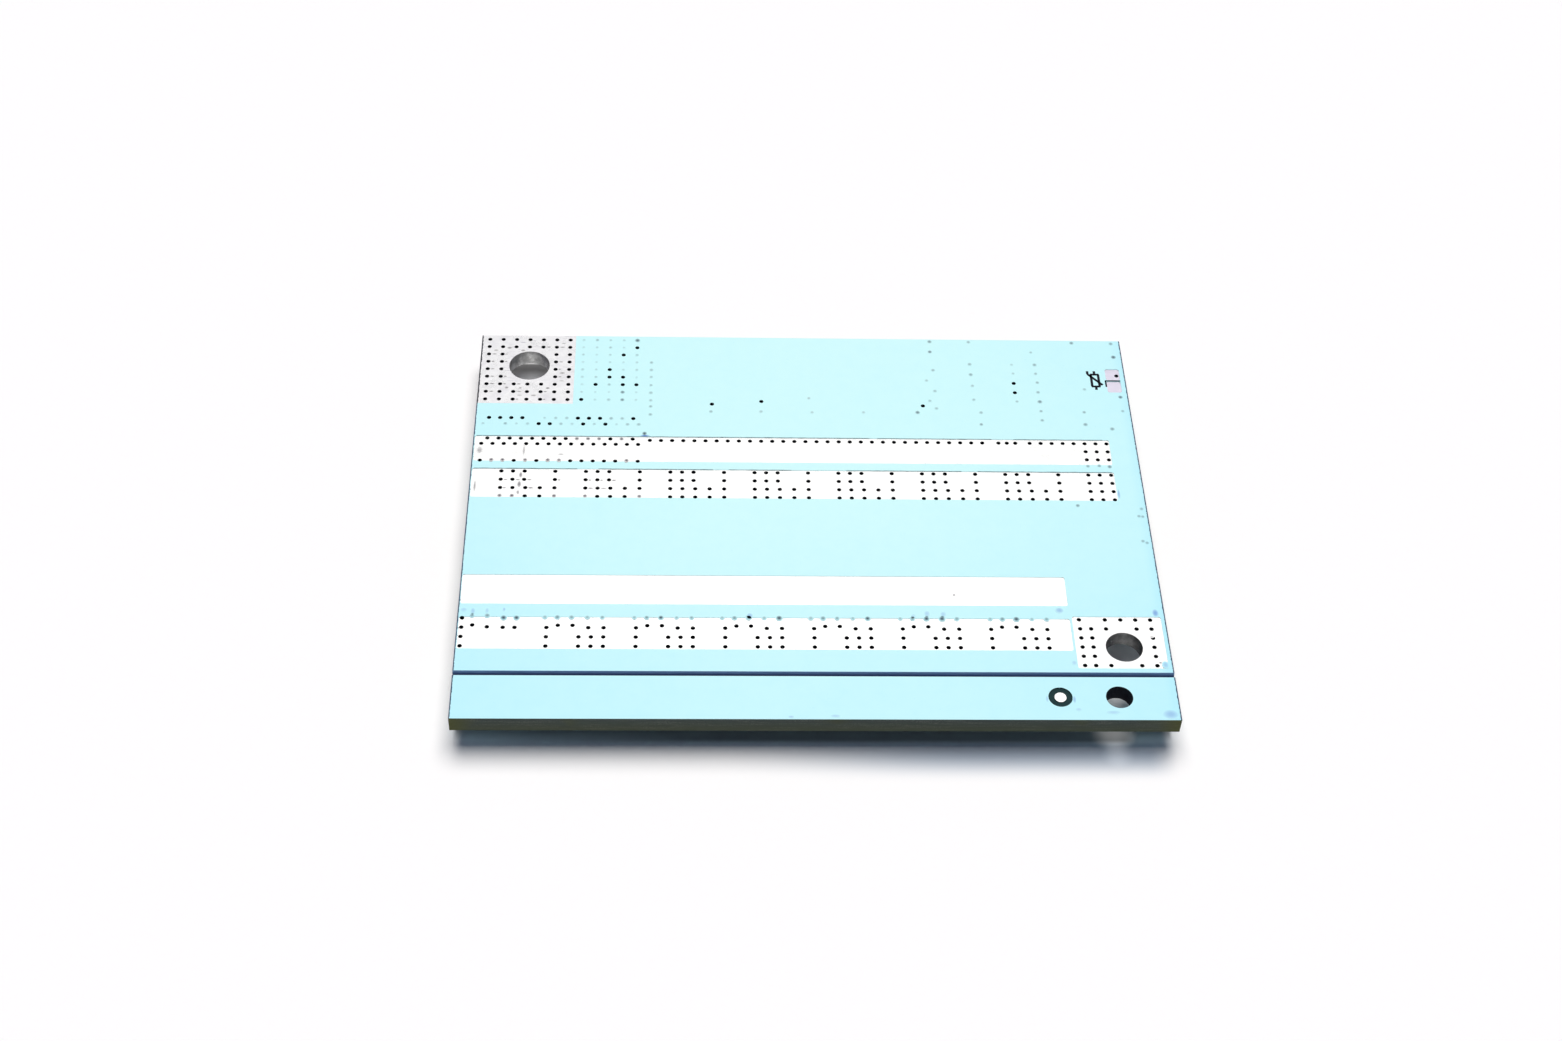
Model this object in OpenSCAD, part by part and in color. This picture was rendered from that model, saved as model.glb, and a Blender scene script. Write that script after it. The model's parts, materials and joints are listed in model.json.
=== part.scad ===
// Battery protection board, seen solder side up and resting on its power transistors.
// Board places are measured from the front left corner of the break-away rail.

/* [Board] */
// Thickness of the laminate with its solder mask
board_t = 1.6; // [1.2:0.1:2.4]
// Depth of the control area, from the shunt bus to the far edge
control_l = 13.3; // [12.8:0.1:30]
// Free border beside the outer transistors
side_margin = 0.53; // [0.5:0.01:6]
// Width of the break-away rail in front of the score line
rail_w = 4.8; // [3:0.1:10]
// Width of each V-score at the surface
score_w = 0.5; // [0.2:0.05:0.8]
// Depth of each V-score
score_d = 0.5; // [0.2:0.05:0.55]

/* [Tinned copper] */
// Thickness of the tinned copper and of the hole plating
tin_t = 0.08; // [0.05:0.01:0.12]
// How far the solder mask stands above the tinned copper
mask_rise = 0.03; // [0.02:0.01:0.1]
// Width of the two source strips
source_strip_w = 3.5; // [3.3:0.05:4]
// Width of the drain strip
drain_strip_w = 3.3; // [2:0.05:5]
// Width of the shunt bus strip
bus_strip_w = 3.15; // [2.9:0.05:3.6]
// Mask between the discharge source strip and the shunt bus
bus_gap = 0.95; // [0.6:0.05:2]
// Mask between the long strips and the left edge
strip_inset = 0.15; // [0.1:0.05:0.3]
// Border between the two far strips and the right edge
strip_end = 2.5; // [1:0.05:5]
// Corner radius of the openings in the solder mask
corner_r = 0.2; // [0.1:0.05:0.4]

/* [Terminals] */
// Plated bore of the battery terminal
battery_bore_d = 3.8; // [2:0.1:4.6]
// Plated bore of the pack terminal
pack_bore_d = 3.2; // [2:0.1:4]
// Width and length of the battery terminal pad
battery_pad = [8.9, 9.1];
// Place of the battery bore from the left edge and from the far edge
battery_bore_at = [4.65, 4.05];
// Width and length of the pack terminal pad
pack_pad = [7.75, 5.7];
// Border between the pack pad and the right edge
pack_pad_side = 0.4; // [0.2:0.05:3]
// Border between the pack pad and the score line
pack_pad_front = 0.7; // [0.5:0.05:1.5]
// Mask between the pack pad and the strips that end beside it
pack_pad_gap = 0.2; // [0.15:0.05:1]
// Place of the pack bore from the pad's right and front sides
pack_bore_at = [3.55, 2.35];

/* [Vias] */
// Finished bore of a stitching via
via_d = 0.4; // [0.3:0.02:0.5]
// Spacing of the vias along a strip
via_pitch = 1.02; // [0.8:0.01:1.3]
// Column spacing of the via grid at the battery terminal
grid_pitch_x = 1.27; // [1:0.01:1.35]
// Row spacing of the via grid at the battery terminal
grid_pitch_y = 1.0; // [0.8:0.01:1.02]
// Copper kept free of vias outside a terminal bore
bore_collar = 0.45; // [0.3:0.05:0.6]

/* [Rail marks] */
// Bore of the tooling hole
tooling_d = 2.3; // [1.5:0.1:3.5]
// Tooling hole from the right edge
tooling_side = 5; // [3:0.1:10]
// Diameter of the fiducial dot
fiducial_d = 1; // [0.8:0.1:1.5]
// Diameter of the mask opening round the dot
fiducial_open_d = 2.05; // [1.6:0.05:3]
// Fiducial from the tooling hole
fiducial_step = 5; // [3.5:0.1:20]

/* [Power transistors] */
// Moulded body, width, length and height
mosfet_w = 6.6; // [5.5:0.1:8]
mosfet_l = 6.1; // [5:0.1:7.5]
mosfet_h = 2.3; // [2.2:0.05:3]
// Gap between neighbouring bodies
mosfet_gap = 1.02; // [0.5:0.02:3]
// Reach of the leads and of the tab past the body
lead_reach = 2.9; // [2.4:0.1:3.5]
tab_reach = 1; // [0.6:0.1:1.5]
// Centre distance of the two outer leads
lead_span = 4.57; // [4:0.01:5]
// From the score line to the tips of the charge transistors' leads
charge_row_front = 2; // [1.5:0.1:6]
// Between the tabs of the two rows
tab_gap = 2.2; // [0.5:0.1:8]

/* [Control parts] */
// Current-sense resistor, length, width and height
shunt_size = [6.35, 3.2, 0.6];
// From the discharge leads' tips to the shunts
shunt_step = 0.35; // [0.2:0.05:2]
// Spacing of the cell channels
channel_pitch = 4.8; // [4.4:0.1:5.8]
// Last cell channel from the protection IC's centre
channel_side = 10; // [6:0.1:12]
// Protection IC's centre from the right edge
ic_side = 12.6; // [10.6:0.1:14]
// Supply parts' centres from the right edge
supply_side = 5.4; // [2:0.1:5.8]
// Protection IC body, width, length and height
ic_size = [3.9, 8.65, 1.5];
// Lead spacing of the protection IC
ic_pitch = 1.27; // [1:0.01:1.27]

/* [Hidden] */
$fn = 48;
discharge_count = 8;
charge_count = 7;
shunt_count = 5;
channel_count = 5;
ic_side_leads = 7;

function numbered(name, count) = [for (i = [1:count]) str(name, "_", i)];

// Overshoot of a cut past the face that it opens
cut = 1;

// Rows of transistors: the charge row's leads face the rail, the discharge row's leads face away
mosfet_pitch = mosfet_w + mosfet_gap;
mosfet_x0 = side_margin + mosfet_w / 2;
mosfet_reach = lead_reach + mosfet_l + tab_reach;
charge_tips_y = rail_w + charge_row_front;
discharge_tips_y = charge_tips_y + 2 * mosfet_reach + tab_gap;
function mosfet_x(i) = mosfet_x0 + i * mosfet_pitch;

// Strips, each as [left, front, right, far]
source_inset = 0.63;
drain_inset = 5.6;
board_w = 2 * side_margin + mosfet_w + (discharge_count - 1) * mosfet_pitch;
pack_pad_x = board_w - pack_pad_side - pack_pad[0];
pack_pad_y = rail_w + pack_pad_front;
far_strip_end = board_w - strip_end;
near_strip_end = pack_pad_x - pack_pad_gap;
discharge_strip_far = discharge_tips_y - source_inset;
bus_front = discharge_strip_far + bus_gap;
control_y = bus_front + bus_strip_w;
overall_l = control_y + control_l;
charge_strip = [strip_inset, charge_tips_y + source_inset,
                near_strip_end, charge_tips_y + source_inset + source_strip_w];
drain_strip_box = [strip_inset, charge_tips_y + drain_inset,
                   near_strip_end, charge_tips_y + drain_inset + drain_strip_w];
discharge_strip = [strip_inset, discharge_strip_far - source_strip_w, far_strip_end, discharge_strip_far];
bus_strip = [strip_inset, bus_front, far_strip_end, control_y];

// Terminal pads and the small pads beside the right edge
battery_box = [0, overall_l - battery_pad[1], battery_pad[0], overall_l];
battery_bore = [battery_bore_at[0], overall_l - battery_bore_at[1]];
pack_box = [pack_pad_x, pack_pad_y, pack_pad_x + pack_pad[0], pack_pad_y + pack_pad[1]];
pack_bore = [pack_box[2] - pack_bore_at[0], pack_box[1] + pack_bore_at[1]];
sensor_pad = [1.35, 1.45];
sensor_gap = 0.2;
sensor_side = 0.5;
sensor_far = 3.9;
sensor_x = board_w - sensor_side - sensor_pad[0];
sensor_far_y = overall_l - sensor_far - sensor_pad[1];
sensor_near_y = sensor_far_y - sensor_gap - sensor_pad[1];
sensor_far_box = [sensor_x, sensor_far_y, sensor_x + sensor_pad[0], sensor_far_y + sensor_pad[1]];
sensor_near_box = [sensor_x, sensor_near_y, sensor_x + sensor_pad[0], sensor_near_y + sensor_pad[1]];
tooling_at = [board_w - tooling_side, rail_w / 2];
fiducial_at = [board_w - tooling_side - fiducial_step, rail_w / 2];

// Heights: the board stands on the transistors, and its tinned copper lies in windows of the mask
rest_h = mosfet_h;
window_d = tin_t + mask_rise;

// Underside layout of the control parts
shunt_y = discharge_tips_y + shunt_step + shunt_size[0] / 2;
first_shunt = 2;
channel_y = shunt_y + shunt_size[0] / 2 + 0.75;
cell_pad_size = [2.6, 2.3];
cell_pad_far = 0.3;
ic_at = [board_w - ic_side, channel_y + ic_size[1] / 2 + 0.1];
supply_x = board_w - supply_side;
function channel_x(i) = ic_at[0] - channel_side - (channel_count - 1 - i) * channel_pitch;

// ---- Via places -------------------------------------------------------------

function run(x0, count, pitch, y) = [for (k = [0:count - 1]) [x0 + k * pitch, y]];
function apart(p, q) = norm(p - q);

// Grid at the battery terminal, by column from the left edge and row from the far edge
grid_x0 = 0.76;
grid_far = 0.53;
pad_columns = 7;
grid_rows = 9;
function grid_via(column, row) =
    [grid_x0 + column * grid_pitch_x, overall_l - grid_far - row * grid_pitch_y];
battery_vias = [
    for (c = [0:pad_columns - 1], r = [0:grid_rows - 1])
        if (apart(grid_via(c, r), battery_bore) > battery_bore_d / 2 + bore_collar) grid_via(c, r)];
// Grid places beside the pad whose mask tent has opened
open_grid = [[11, 1], [10, 2], [9, 4], [9, 5], [10, 5], [8, 6], [10, 6], [11, 6], [7, 8]];
open_grid_vias = [for (g = open_grid) grid_via(g[0], g[1])];

// Pack terminal: columns and rows from the bore's centre, clear of the bore and of one corner place
pack_columns = [-3.6, -2.65, -1.35, 0, 1.3, 2.6];
pack_row_front = -2.02;
pack_rows = 6;
pack_skip = [1, 5];
pack_vias = [
    for (c = [0:len(pack_columns) - 1], r = [0:pack_rows - 1])
        let (at = [pack_columns[c], pack_row_front + r * 1.01])
            if (norm(at) > pack_bore_d / 2 + bore_collar + 0.1 && [c, r] != pack_skip) pack_bore + at];

// Left part of the shunt bus: two staggered rows, a row on its front edge, and two rows beyond it
left_zone_count = 15;
edge_row = 0.06;
row_x0 = 0.76;
stagger = via_pitch / 2;
bus_row_far = 0.28;
bus_row_step = 0.68;
left_bus_vias = concat(
    run(row_x0 + stagger, left_zone_count - 1, via_pitch, control_y - bus_row_far),
    run(row_x0, left_zone_count, via_pitch, control_y - bus_row_far - bus_row_step),
    run(row_x0, left_zone_count, via_pitch, bus_front + edge_row));
open_outer = [0, 1, 2, 3, 8, 9, 10, 13];
open_inner = [5, 6, 9, 11];
outer_row_y = control_y + 2.33;
inner_row_y = control_y + 1.58;
open_row_vias = concat(
    [for (k = open_outer) [row_x0 + stagger + k * via_pitch, outer_row_y]],
    [for (k = open_inner) [row_x0 + k * via_pitch, inner_row_y]]);

// Right part of the shunt bus: one row in three runs, and a block of three columns at its end
bus_row_y = control_y - 0.43;
end_run_count = 8;
end_run_x0 = far_strip_end - 0.26 - (end_run_count - 1) * via_pitch;
short_run_count = 3;
short_run_pitch = 0.78;
short_run_x0 = end_run_x0 - 2.9;
long_run_x0 = row_x0 + (left_zone_count - 1) * via_pitch + 1.06;
long_run_count = floor((short_run_x0 - 1.4 - long_run_x0) / via_pitch) + 1;
block_columns = 3;
block_x0 = end_run_x0 + (end_run_count - block_columns) * via_pitch;
right_bus_vias = concat(
    run(long_run_x0, long_run_count, via_pitch, bus_row_y),
    run(short_run_x0, short_run_count, short_run_pitch, bus_row_y),
    run(end_run_x0, end_run_count, via_pitch, bus_row_y),
    run(block_x0, block_columns, via_pitch, bus_row_y - via_pitch),
    run(block_x0, block_columns, via_pitch, bus_row_y - 2 * via_pitch));

// Round one transistor, from its centre line and its leads' tips:
// two rows between the leads and two under the body
tip_row = 0.93;
between_leads = [-1.05, 0, 1.05];
under_discharge = [-1.05, 0.05, 1.2, 2.5];
under_charge = [[-2.85, 0.25], [-1.6, 0.25], [-0.25, 0], [1.05, 0]];
first_under_charge = [[-2.5, 0.25], [-1.25, 0.05], [0.1, 0], [1.1, 0]];
last_row = 3;
function tip_distance(row) = tip_row + row * via_pitch;
function discharge_row(i, row) =
    let (us = row < 2 || i == discharge_count - 1 ? between_leads : under_discharge,
         side = i == discharge_count - 1 ? [] : [mosfet_pitch / 2])
        [for (u = concat(us, side)) [mosfet_x(i) + u, discharge_tips_y - tip_distance(row)]];
function charge_row(i, row) =
    row == 2
        ? [for (s = i == 0 ? first_under_charge : under_charge)
            [mosfet_x(i) + s[0], charge_tips_y + tip_distance(row) + s[1]]]
        : i == 0 ? [] : [for (u = between_leads) [mosfet_x(i) + u, charge_tips_y + tip_distance(row)]];
first_side_x = 0.42;
function charge_side(i) =
    [for (row = [0:i == 0 ? last_row : 2])
        [i == 0 ? first_side_x : mosfet_x(i) - mosfet_pitch / 2, charge_tips_y + tip_distance(row)]];
discharge_vias = [for (i = [0:discharge_count - 1], row = [0:last_row]) each discharge_row(i, row)];
charge_vias = [for (i = [0:charge_count - 1]) each concat(
    charge_side(i), [for (row = [0:2]) each charge_row(i, row)])];

// Signal vias of the control area, from the left edge and from the shunt bus
signal_places = [[21.8, 4.3], [26.4, 4.7], [41.5, 4.3], [50.3, 7.4], [50.3, 6.15]];
signal_vias = [for (s = signal_places) [s[0], control_y + s[1]]];
sensor_via = [sensor_x + 1.05, sensor_far_y + 0.6];

all_vias = concat(battery_vias, open_grid_vias, pack_vias, left_bus_vias, open_row_vias,
                  right_bus_vias, discharge_vias, charge_vias, signal_vias, [sensor_via]);

// ---- Board ------------------------------------------------------------------

module on_board() {
    translate([-board_w / 2, -overall_l / 2, rest_h]) children();
}

module box_2d(b) {
    translate([b[0], b[1]]) square([b[2] - b[0], b[3] - b[1]]);
}

// An opening in the mask and the tin that fills it, with round corners
module opening_2d(b) {
    box_2d([b[0] + corner_r, b[1], b[2] - corner_r, b[3]]);
    box_2d([b[0], b[1] + corner_r, b[2], b[3] - corner_r]);
    for (x = [b[0] + corner_r, b[2] - corner_r], y = [b[1] + corner_r, b[3] - corner_r])
        translate([x, y]) circle(corner_r);
}

// The battery pad fills its corner of the board, so its opening runs out over both edges
module battery_opening_2d() {
    box_2d([-cut, battery_box[1], battery_box[2], overall_l + cut]);
}

module drills(places) {
    for (p = places) translate(p) circle(d = via_d, $fn = 24);
}

function cell_pad_box(i) =
    let (x = channel_x(i) - cell_pad_size[0] / 2, y = overall_l - cell_pad_far - cell_pad_size[1])
        [x, y, x + cell_pad_size[0], y + cell_pad_size[1]];

// Windows of the mask; the battery pad's is open to the left and far edges
module upper_windows() {
    for (b = [bus_strip, discharge_strip, drain_strip_box, charge_strip, pack_box,
              sensor_far_box, sensor_near_box]) opening_2d(b);
    battery_opening_2d();
    translate(fiducial_at) circle(d = fiducial_open_d);
}

module lower_windows() {
    opening_2d(pack_box);
    battery_opening_2d();
    for (i = [0:channel_count - 1]) opening_2d(cell_pad_box(i));
}

module score() {
    translate([-cut, rail_w, 0]) rotate([90, 0, 90]) linear_extrude(board_w + 2 * cut)
        polygon([[-score_w / 2, 0], [score_w / 2, 0], [0, -score_d]]);
}

module printed_board() {
    color("#d2f4fa") on_board() difference() {
        linear_extrude(board_t) difference() {
            square([board_w, overall_l]);
            drills(all_vias);
            translate(battery_bore) circle(d = battery_bore_d + 2 * tin_t);
            translate(pack_bore) circle(d = pack_bore_d + 2 * tin_t);
            translate(tooling_at) circle(d = tooling_d);
        }
        translate([0, 0, board_t - window_d]) linear_extrude(window_d + cut) upper_windows();
        translate([0, 0, -cut]) linear_extrude(window_d + cut) lower_windows();
        translate([0, 0, board_t]) score();
        mirror([0, 0, 1]) score();
    }
}

// ---- Tinned copper ----------------------------------------------------------

module upper_tin(b, places) {
    color("#f2f4f4") on_board() translate([0, 0, board_t - window_d]) linear_extrude(tin_t)
        difference() {
            opening_2d(b);
            drills(places);
        }
}

// Upper pad, plated barrel and lower land of a terminal, in one piece; the pad's outline is its child
module terminal_pad(bore, bore_d, places) {
    color("#eef0f2") on_board() difference() {
        union() {
            for (z = [mask_rise, board_t - window_d])
                translate([0, 0, z]) linear_extrude(tin_t) difference() {
                    children();
                    drills(places);
                }
            translate([bore[0], bore[1], mask_rise])
                cylinder(d = bore_d + 2 * tin_t, h = board_t - 2 * mask_rise);
        }
        translate([bore[0], bore[1], -cut]) cylinder(d = bore_d, h = board_t + 2 * cut);
    }
}

module shunt_bus_strip() upper_tin(bus_strip, concat(left_bus_vias, right_bus_vias));
module discharge_source_strip() upper_tin(discharge_strip, discharge_vias);
module drain_strip() upper_tin(drain_strip_box, []);
module charge_source_strip() upper_tin(charge_strip, charge_vias);
module battery_terminal_pad() terminal_pad(battery_bore, battery_bore_d, battery_vias) box_2d(battery_box);
module pack_terminal_pad() terminal_pad(pack_bore, pack_bore_d, pack_vias) opening_2d(pack_box);
module sensor_pad_far() upper_tin(sensor_far_box, [sensor_via]);
module sensor_pad_near() upper_tin(sensor_near_box, []);

module fiducial_dot() {
    color("#e8e4d0") on_board() translate([fiducial_at[0], fiducial_at[1], board_t - window_d])
        cylinder(d = fiducial_d, h = tin_t);
}

module cell_pad(i) {
    color("#eef0f2") on_board() translate([0, 0, mask_rise]) linear_extrude(tin_t)
        opening_2d(cell_pad_box(i));
}

// ---- Parts under the board --------------------------------------------------
// Each is drawn standing on z = 0, with its leads along Y, and hung under the board by under_board.

module under_board(at, turn = 0) {
    on_board() translate([at[0], at[1], 0]) mirror([0, 0, 1]) rotate([0, 0, turn]) children();
}

// A moulded block whose four sides draw in above and below its parting line
module moulded(w, l, z0, parting, z1, draft) {
    intersection() {
        rotate([90, 0, 0]) linear_extrude(l + 2 * cut, center = true)
            moulded_side(w, z0, parting, z1, draft);
        rotate([90, 0, 90]) linear_extrude(w + 2 * cut, center = true)
            moulded_side(l, z0, parting, z1, draft);
    }
}

module moulded_side(width, z0, parting, z1, draft) {
    low = width / 2 - (parting - z0) * draft;
    high = width / 2 - (z1 - parting) * draft;
    polygon([[-low, z0], [low, z0], [width / 2, parting], [high, z1], [-high, z1], [-width / 2, parting]]);
}

// A gull-wing lead that leaves a body at y = 0 and runs to y = reach, foot on z = 0
module gull_lead(width, thick, reach, foot, exit_h) {
    shoulder = (reach - foot) * 0.45;
    translate([-width / 2, 0, 0]) rotate([90, 0, 90]) linear_extrude(width) polygon([
        [-0.3, exit_h - thick / 2], [shoulder - thick / 2, exit_h - thick / 2],
        [reach - foot - thick / 2, 0], [reach, 0], [reach, thick],
        [reach - foot + thick / 2, thick], [shoulder + thick / 2, exit_h + thick / 2],
        [-0.3, exit_h + thick / 2]]);
}

// TO-252 outline: drafted body, clipped tab at -Y, two gull-wing leads and the cut middle lead at +Y
module power_transistor() {
    frame_t = 0.5;
    lead_w = 0.76;
    exit_h = 1.2;
    foot = 1.5;
    tab_w = 5.3;
    clip = 0.6;
    stub = 0.75;
    mark_d = 1.1;
    color("#2b2b2d") union() {
        difference() {
            moulded(mosfet_w, mosfet_l, 0, exit_h, mosfet_h, 0.1);
            translate([-mosfet_w / 4, 0, mosfet_h - 0.06]) cylinder(d = mark_d, h = cut);
        }
        translate([0, -mosfet_l / 2, 0]) linear_extrude(frame_t) polygon([
            [-tab_w / 2, 1], [-tab_w / 2, -tab_reach + clip], [-tab_w / 2 + clip, -tab_reach],
            [tab_w / 2 - clip, -tab_reach], [tab_w / 2, -tab_reach + clip], [tab_w / 2, 1]]);
        translate([0, mosfet_l / 2, 0]) {
            for (side = [-1, 1])
                translate([side * lead_span / 2, 0, 0]) gull_lead(lead_w, frame_t, lead_reach, foot, exit_h);
            translate([-lead_w / 2, -0.3, exit_h - frame_t / 2]) cube([lead_w, stub + 0.3, frame_t]);
        }
    }
}

module discharge_mosfet(i) {
    under_board([mosfet_x(i), discharge_tips_y - lead_reach - mosfet_l / 2]) power_transistor();
}

module charge_mosfet(i) {
    under_board([mosfet_x(i), charge_tips_y + lead_reach + mosfet_l / 2], 180) power_transistor();
}

// A chip part: a ceramic block with wrapped end terminals, length along Y
module chip(size, terminal, shade) {
    wrap = 0.04;
    color(shade) union() {
        translate([-size[1] / 2 + wrap, -size[0] / 2 + wrap, wrap])
            cube([size[1] - 2 * wrap, size[0] - 2 * wrap, size[2] - 2 * wrap]);
        for (side = [-1, 1])
            translate([0, side * (size[0] - terminal) / 2, size[2] / 2])
                cube([size[1], terminal, size[2]], center = true);
    }
}

module shunt_resistor(i) {
    under_board([mosfet_x(first_shunt + i), shunt_y]) chip(shunt_size, 0.9, "#3a3a3c");
}

// SOT-23 outline: two leads at -Y and one at +Y
module small_transistor() {
    body = [2.9, 1.3];
    reach = 0.55;
    foot = 0.3;
    lead_w = 0.4;
    lead_t = 0.14;
    pitch = 0.95;
    exit_h = 0.55;
    color("#2b2b2d") union() {
        moulded(body[0], body[1], 0.06, exit_h, 1.05, 0.12);
        for (side = [-1, 1])
            translate([side * pitch, -body[1] / 2, 0]) mirror([0, 1, 0])
                gull_lead(lead_w, lead_t, reach, foot, exit_h);
        translate([0, body[1] / 2, 0]) gull_lead(lead_w, lead_t, reach, foot, exit_h);
    }
}

module protection_ic() {
    reach = 1.05;
    foot = 0.55;
    exit_h = 0.85;
    lift = 0.15;
    mark_at = [-ic_size[0] / 2 + 0.8, ic_size[1] / 2 - 0.8];
    color("#2b2b2d") under_board(ic_at) union() {
        difference() {
            moulded(ic_size[0], ic_size[1], lift, exit_h, ic_size[2] + lift, 0.12);
            translate([mark_at[0], mark_at[1], ic_size[2] + lift - 0.06]) cylinder(d = 0.7, h = cut);
        }
        for (side = [-1, 1], k = [0:ic_side_leads - 1])
            translate([side * ic_size[0] / 2, (k - (ic_side_leads - 1) / 2) * ic_pitch, 0])
                rotate([0, 0, -90 * side]) gull_lead(0.42, 0.2, reach, foot, exit_h);
    }
}

// One cell channel: bleed resistor, its transistor, and the sense filter beside it
bleed_size = [3.2, 1.6, 0.55];
filter_r_size = [1.6, 0.8, 0.45];
filter_c_size = [1.6, 0.8, 0.8];
filter_dx = 1.6;

module balance_resistor(i) {
    under_board([channel_x(i), channel_y + 5.4], 90) chip(bleed_size, 0.5, "#353537");
}

module balance_transistor(i) {
    under_board([channel_x(i) - 0.75, channel_y + 2.5]) small_transistor();
}

module filter_resistor(i) {
    under_board([channel_x(i) + filter_dx, channel_y + 0.9]) chip(filter_r_size, 0.3, "#353537");
}

module filter_capacitor(i) {
    under_board([channel_x(i) + filter_dx, channel_y + 3.1]) chip(filter_c_size, 0.35, "#a9835c");
}

module driver_transistor() under_board([supply_x, channel_y + 0.3], 90) small_transistor();
module supply_capacitor() under_board([supply_x, channel_y + 4.4]) chip([3.2, 2.5, 1.8], 0.5, "#a9835c");

// SMA outline: a drafted body with two flat leads folded under its ends
module surge_diode() {
    body = [2.6, 4.3];
    lead_w = 1.45;
    lead_t = 0.2;
    fold = 1.2;
    reach = 0.4;
    exit_h = 1.05;
    color("#2b2b2d") under_board([pack_bore[0], (charge_tips_y + discharge_tips_y) / 2 - 2.8], 90) union() {
        moulded(body[0], body[1], lead_t, exit_h, 2.1, 0.12);
        for (side = [0, 180]) rotate([0, 0, side]) translate([-lead_w / 2, body[1] / 2, 0])
            rotate([90, 0, 90]) linear_extrude(lead_w) polygon([
                [-0.3, exit_h], [reach, exit_h], [reach, 0], [reach - fold, 0],
                [reach - fold, lead_t], [reach - lead_t, lead_t], [reach - lead_t, exit_h - lead_t],
                [-0.3, exit_h - lead_t]]);
    }
}

// ---- Drawing ----------------------------------------------------------------

module series(name, count) {
    for (i = [0:count - 1]) union() {
        $index = i;
        children();
    }
}

printed_board();
shunt_bus_strip();
discharge_source_strip();
drain_strip();
charge_source_strip();
battery_terminal_pad();
pack_terminal_pad();
sensor_pad_far();
sensor_pad_near();
fiducial_dot();
series("discharge_mosfet", discharge_count) discharge_mosfet($index);
series("charge_mosfet", charge_count) charge_mosfet($index);
series("shunt_resistor", shunt_count) shunt_resistor($index);
protection_ic();
series("balance_resistor", channel_count) balance_resistor($index);
series("balance_transistor", channel_count) balance_transistor($index);
series("filter_resistor", channel_count) filter_resistor($index);
series("filter_capacitor", channel_count) filter_capacitor($index);
series("cell_pad", channel_count) cell_pad($index);
driver_transistor();
surge_diode();
supply_capacitor();
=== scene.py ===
"""Finishes, small details, floor, lamps and camera of a battery protection board."""

import json
import math
import random

import bmesh
import bpy
from bpy.props import FloatProperty, FloatVectorProperty, IntProperty, PointerProperty
from bpy.types import Operator, Panel, PropertyGroup
from mathutils import Matrix, Vector


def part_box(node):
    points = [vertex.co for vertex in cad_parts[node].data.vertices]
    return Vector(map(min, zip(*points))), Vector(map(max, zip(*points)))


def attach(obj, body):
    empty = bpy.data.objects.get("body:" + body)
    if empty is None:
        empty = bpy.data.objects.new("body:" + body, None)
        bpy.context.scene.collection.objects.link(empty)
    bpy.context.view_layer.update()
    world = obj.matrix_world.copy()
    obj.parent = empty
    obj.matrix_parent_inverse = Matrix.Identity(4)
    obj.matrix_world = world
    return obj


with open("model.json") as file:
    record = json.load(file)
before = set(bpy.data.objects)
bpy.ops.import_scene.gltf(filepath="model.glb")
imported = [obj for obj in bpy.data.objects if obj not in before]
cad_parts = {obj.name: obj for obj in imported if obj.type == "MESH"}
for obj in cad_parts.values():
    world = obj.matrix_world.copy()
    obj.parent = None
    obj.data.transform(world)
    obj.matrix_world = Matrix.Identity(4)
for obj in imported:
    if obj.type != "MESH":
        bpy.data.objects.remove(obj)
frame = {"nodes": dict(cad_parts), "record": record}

bl_info = {
    "name": "Battery Protection Board",
    "version": (1, 0, 0),
    "blender": (4, 5, 0),
    "location": "View3D > Sidebar > Board",
    "description": "Gives a circuit board its mask, tin, laminate, closed vias, solder and studio",
    "category": "Object",
}

BODY = "root"
# Vertex attribute that says how dark a mark is, from 0 to 1
SHADE = "shade"
MM = 0.001

BOARD_LOW, BOARD_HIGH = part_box("printed_board")
LEFT, FRONT, UNDER = BOARD_LOW
RIGHT, REAR, TOP = BOARD_HIGH
BOARD_L = (REAR - FRONT) / MM
MOUNTS = {mount["name"]: mount for mount in frame["record"]["mounts"]}


def on_board(x, y, z=TOP):
    """The point x, y millimetres from the board's front left corner, at height z."""
    return Vector((LEFT + x * MM, FRONT + y * MM, z))


def hole(name):
    """Centre and radius, in metres, of one of the board's large holes."""
    return Vector(MOUNTS[name]["pos_m"]), MOUNTS[name]["dims"]["r_mm"] * MM


def numbered(name, count):
    return [f"{name}_{i + 1}" for i in range(count)]


BATTERY_BORE = hole("battery_bore")
PACK_BORE = hole("pack_bore")
TOOLING_HOLE = hole("tooling_hole")

STRIPS = ("shunt_bus_strip", "discharge_source_strip", "drain_strip", "charge_source_strip")
SENSOR_PADS = ("sensor_pad_far", "sensor_pad_near")
CELL_PADS = numbered("cell_pad", 5)
DISCHARGE_MOSFETS = numbered("discharge_mosfet", 8)
CHARGE_MOSFETS = numbered("charge_mosfet", 7)
SHUNTS = numbered("shunt_resistor", 5)
BALANCE_RESISTORS = numbered("balance_resistor", 5)
BALANCE_TRANSISTORS = numbered("balance_transistor", 5)
FILTER_RESISTORS = numbered("filter_resistor", 5)
FILTER_CAPACITORS = numbered("filter_capacitor", 5)


# ---- Sizes and colours a user would change ----------------------------------

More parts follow.
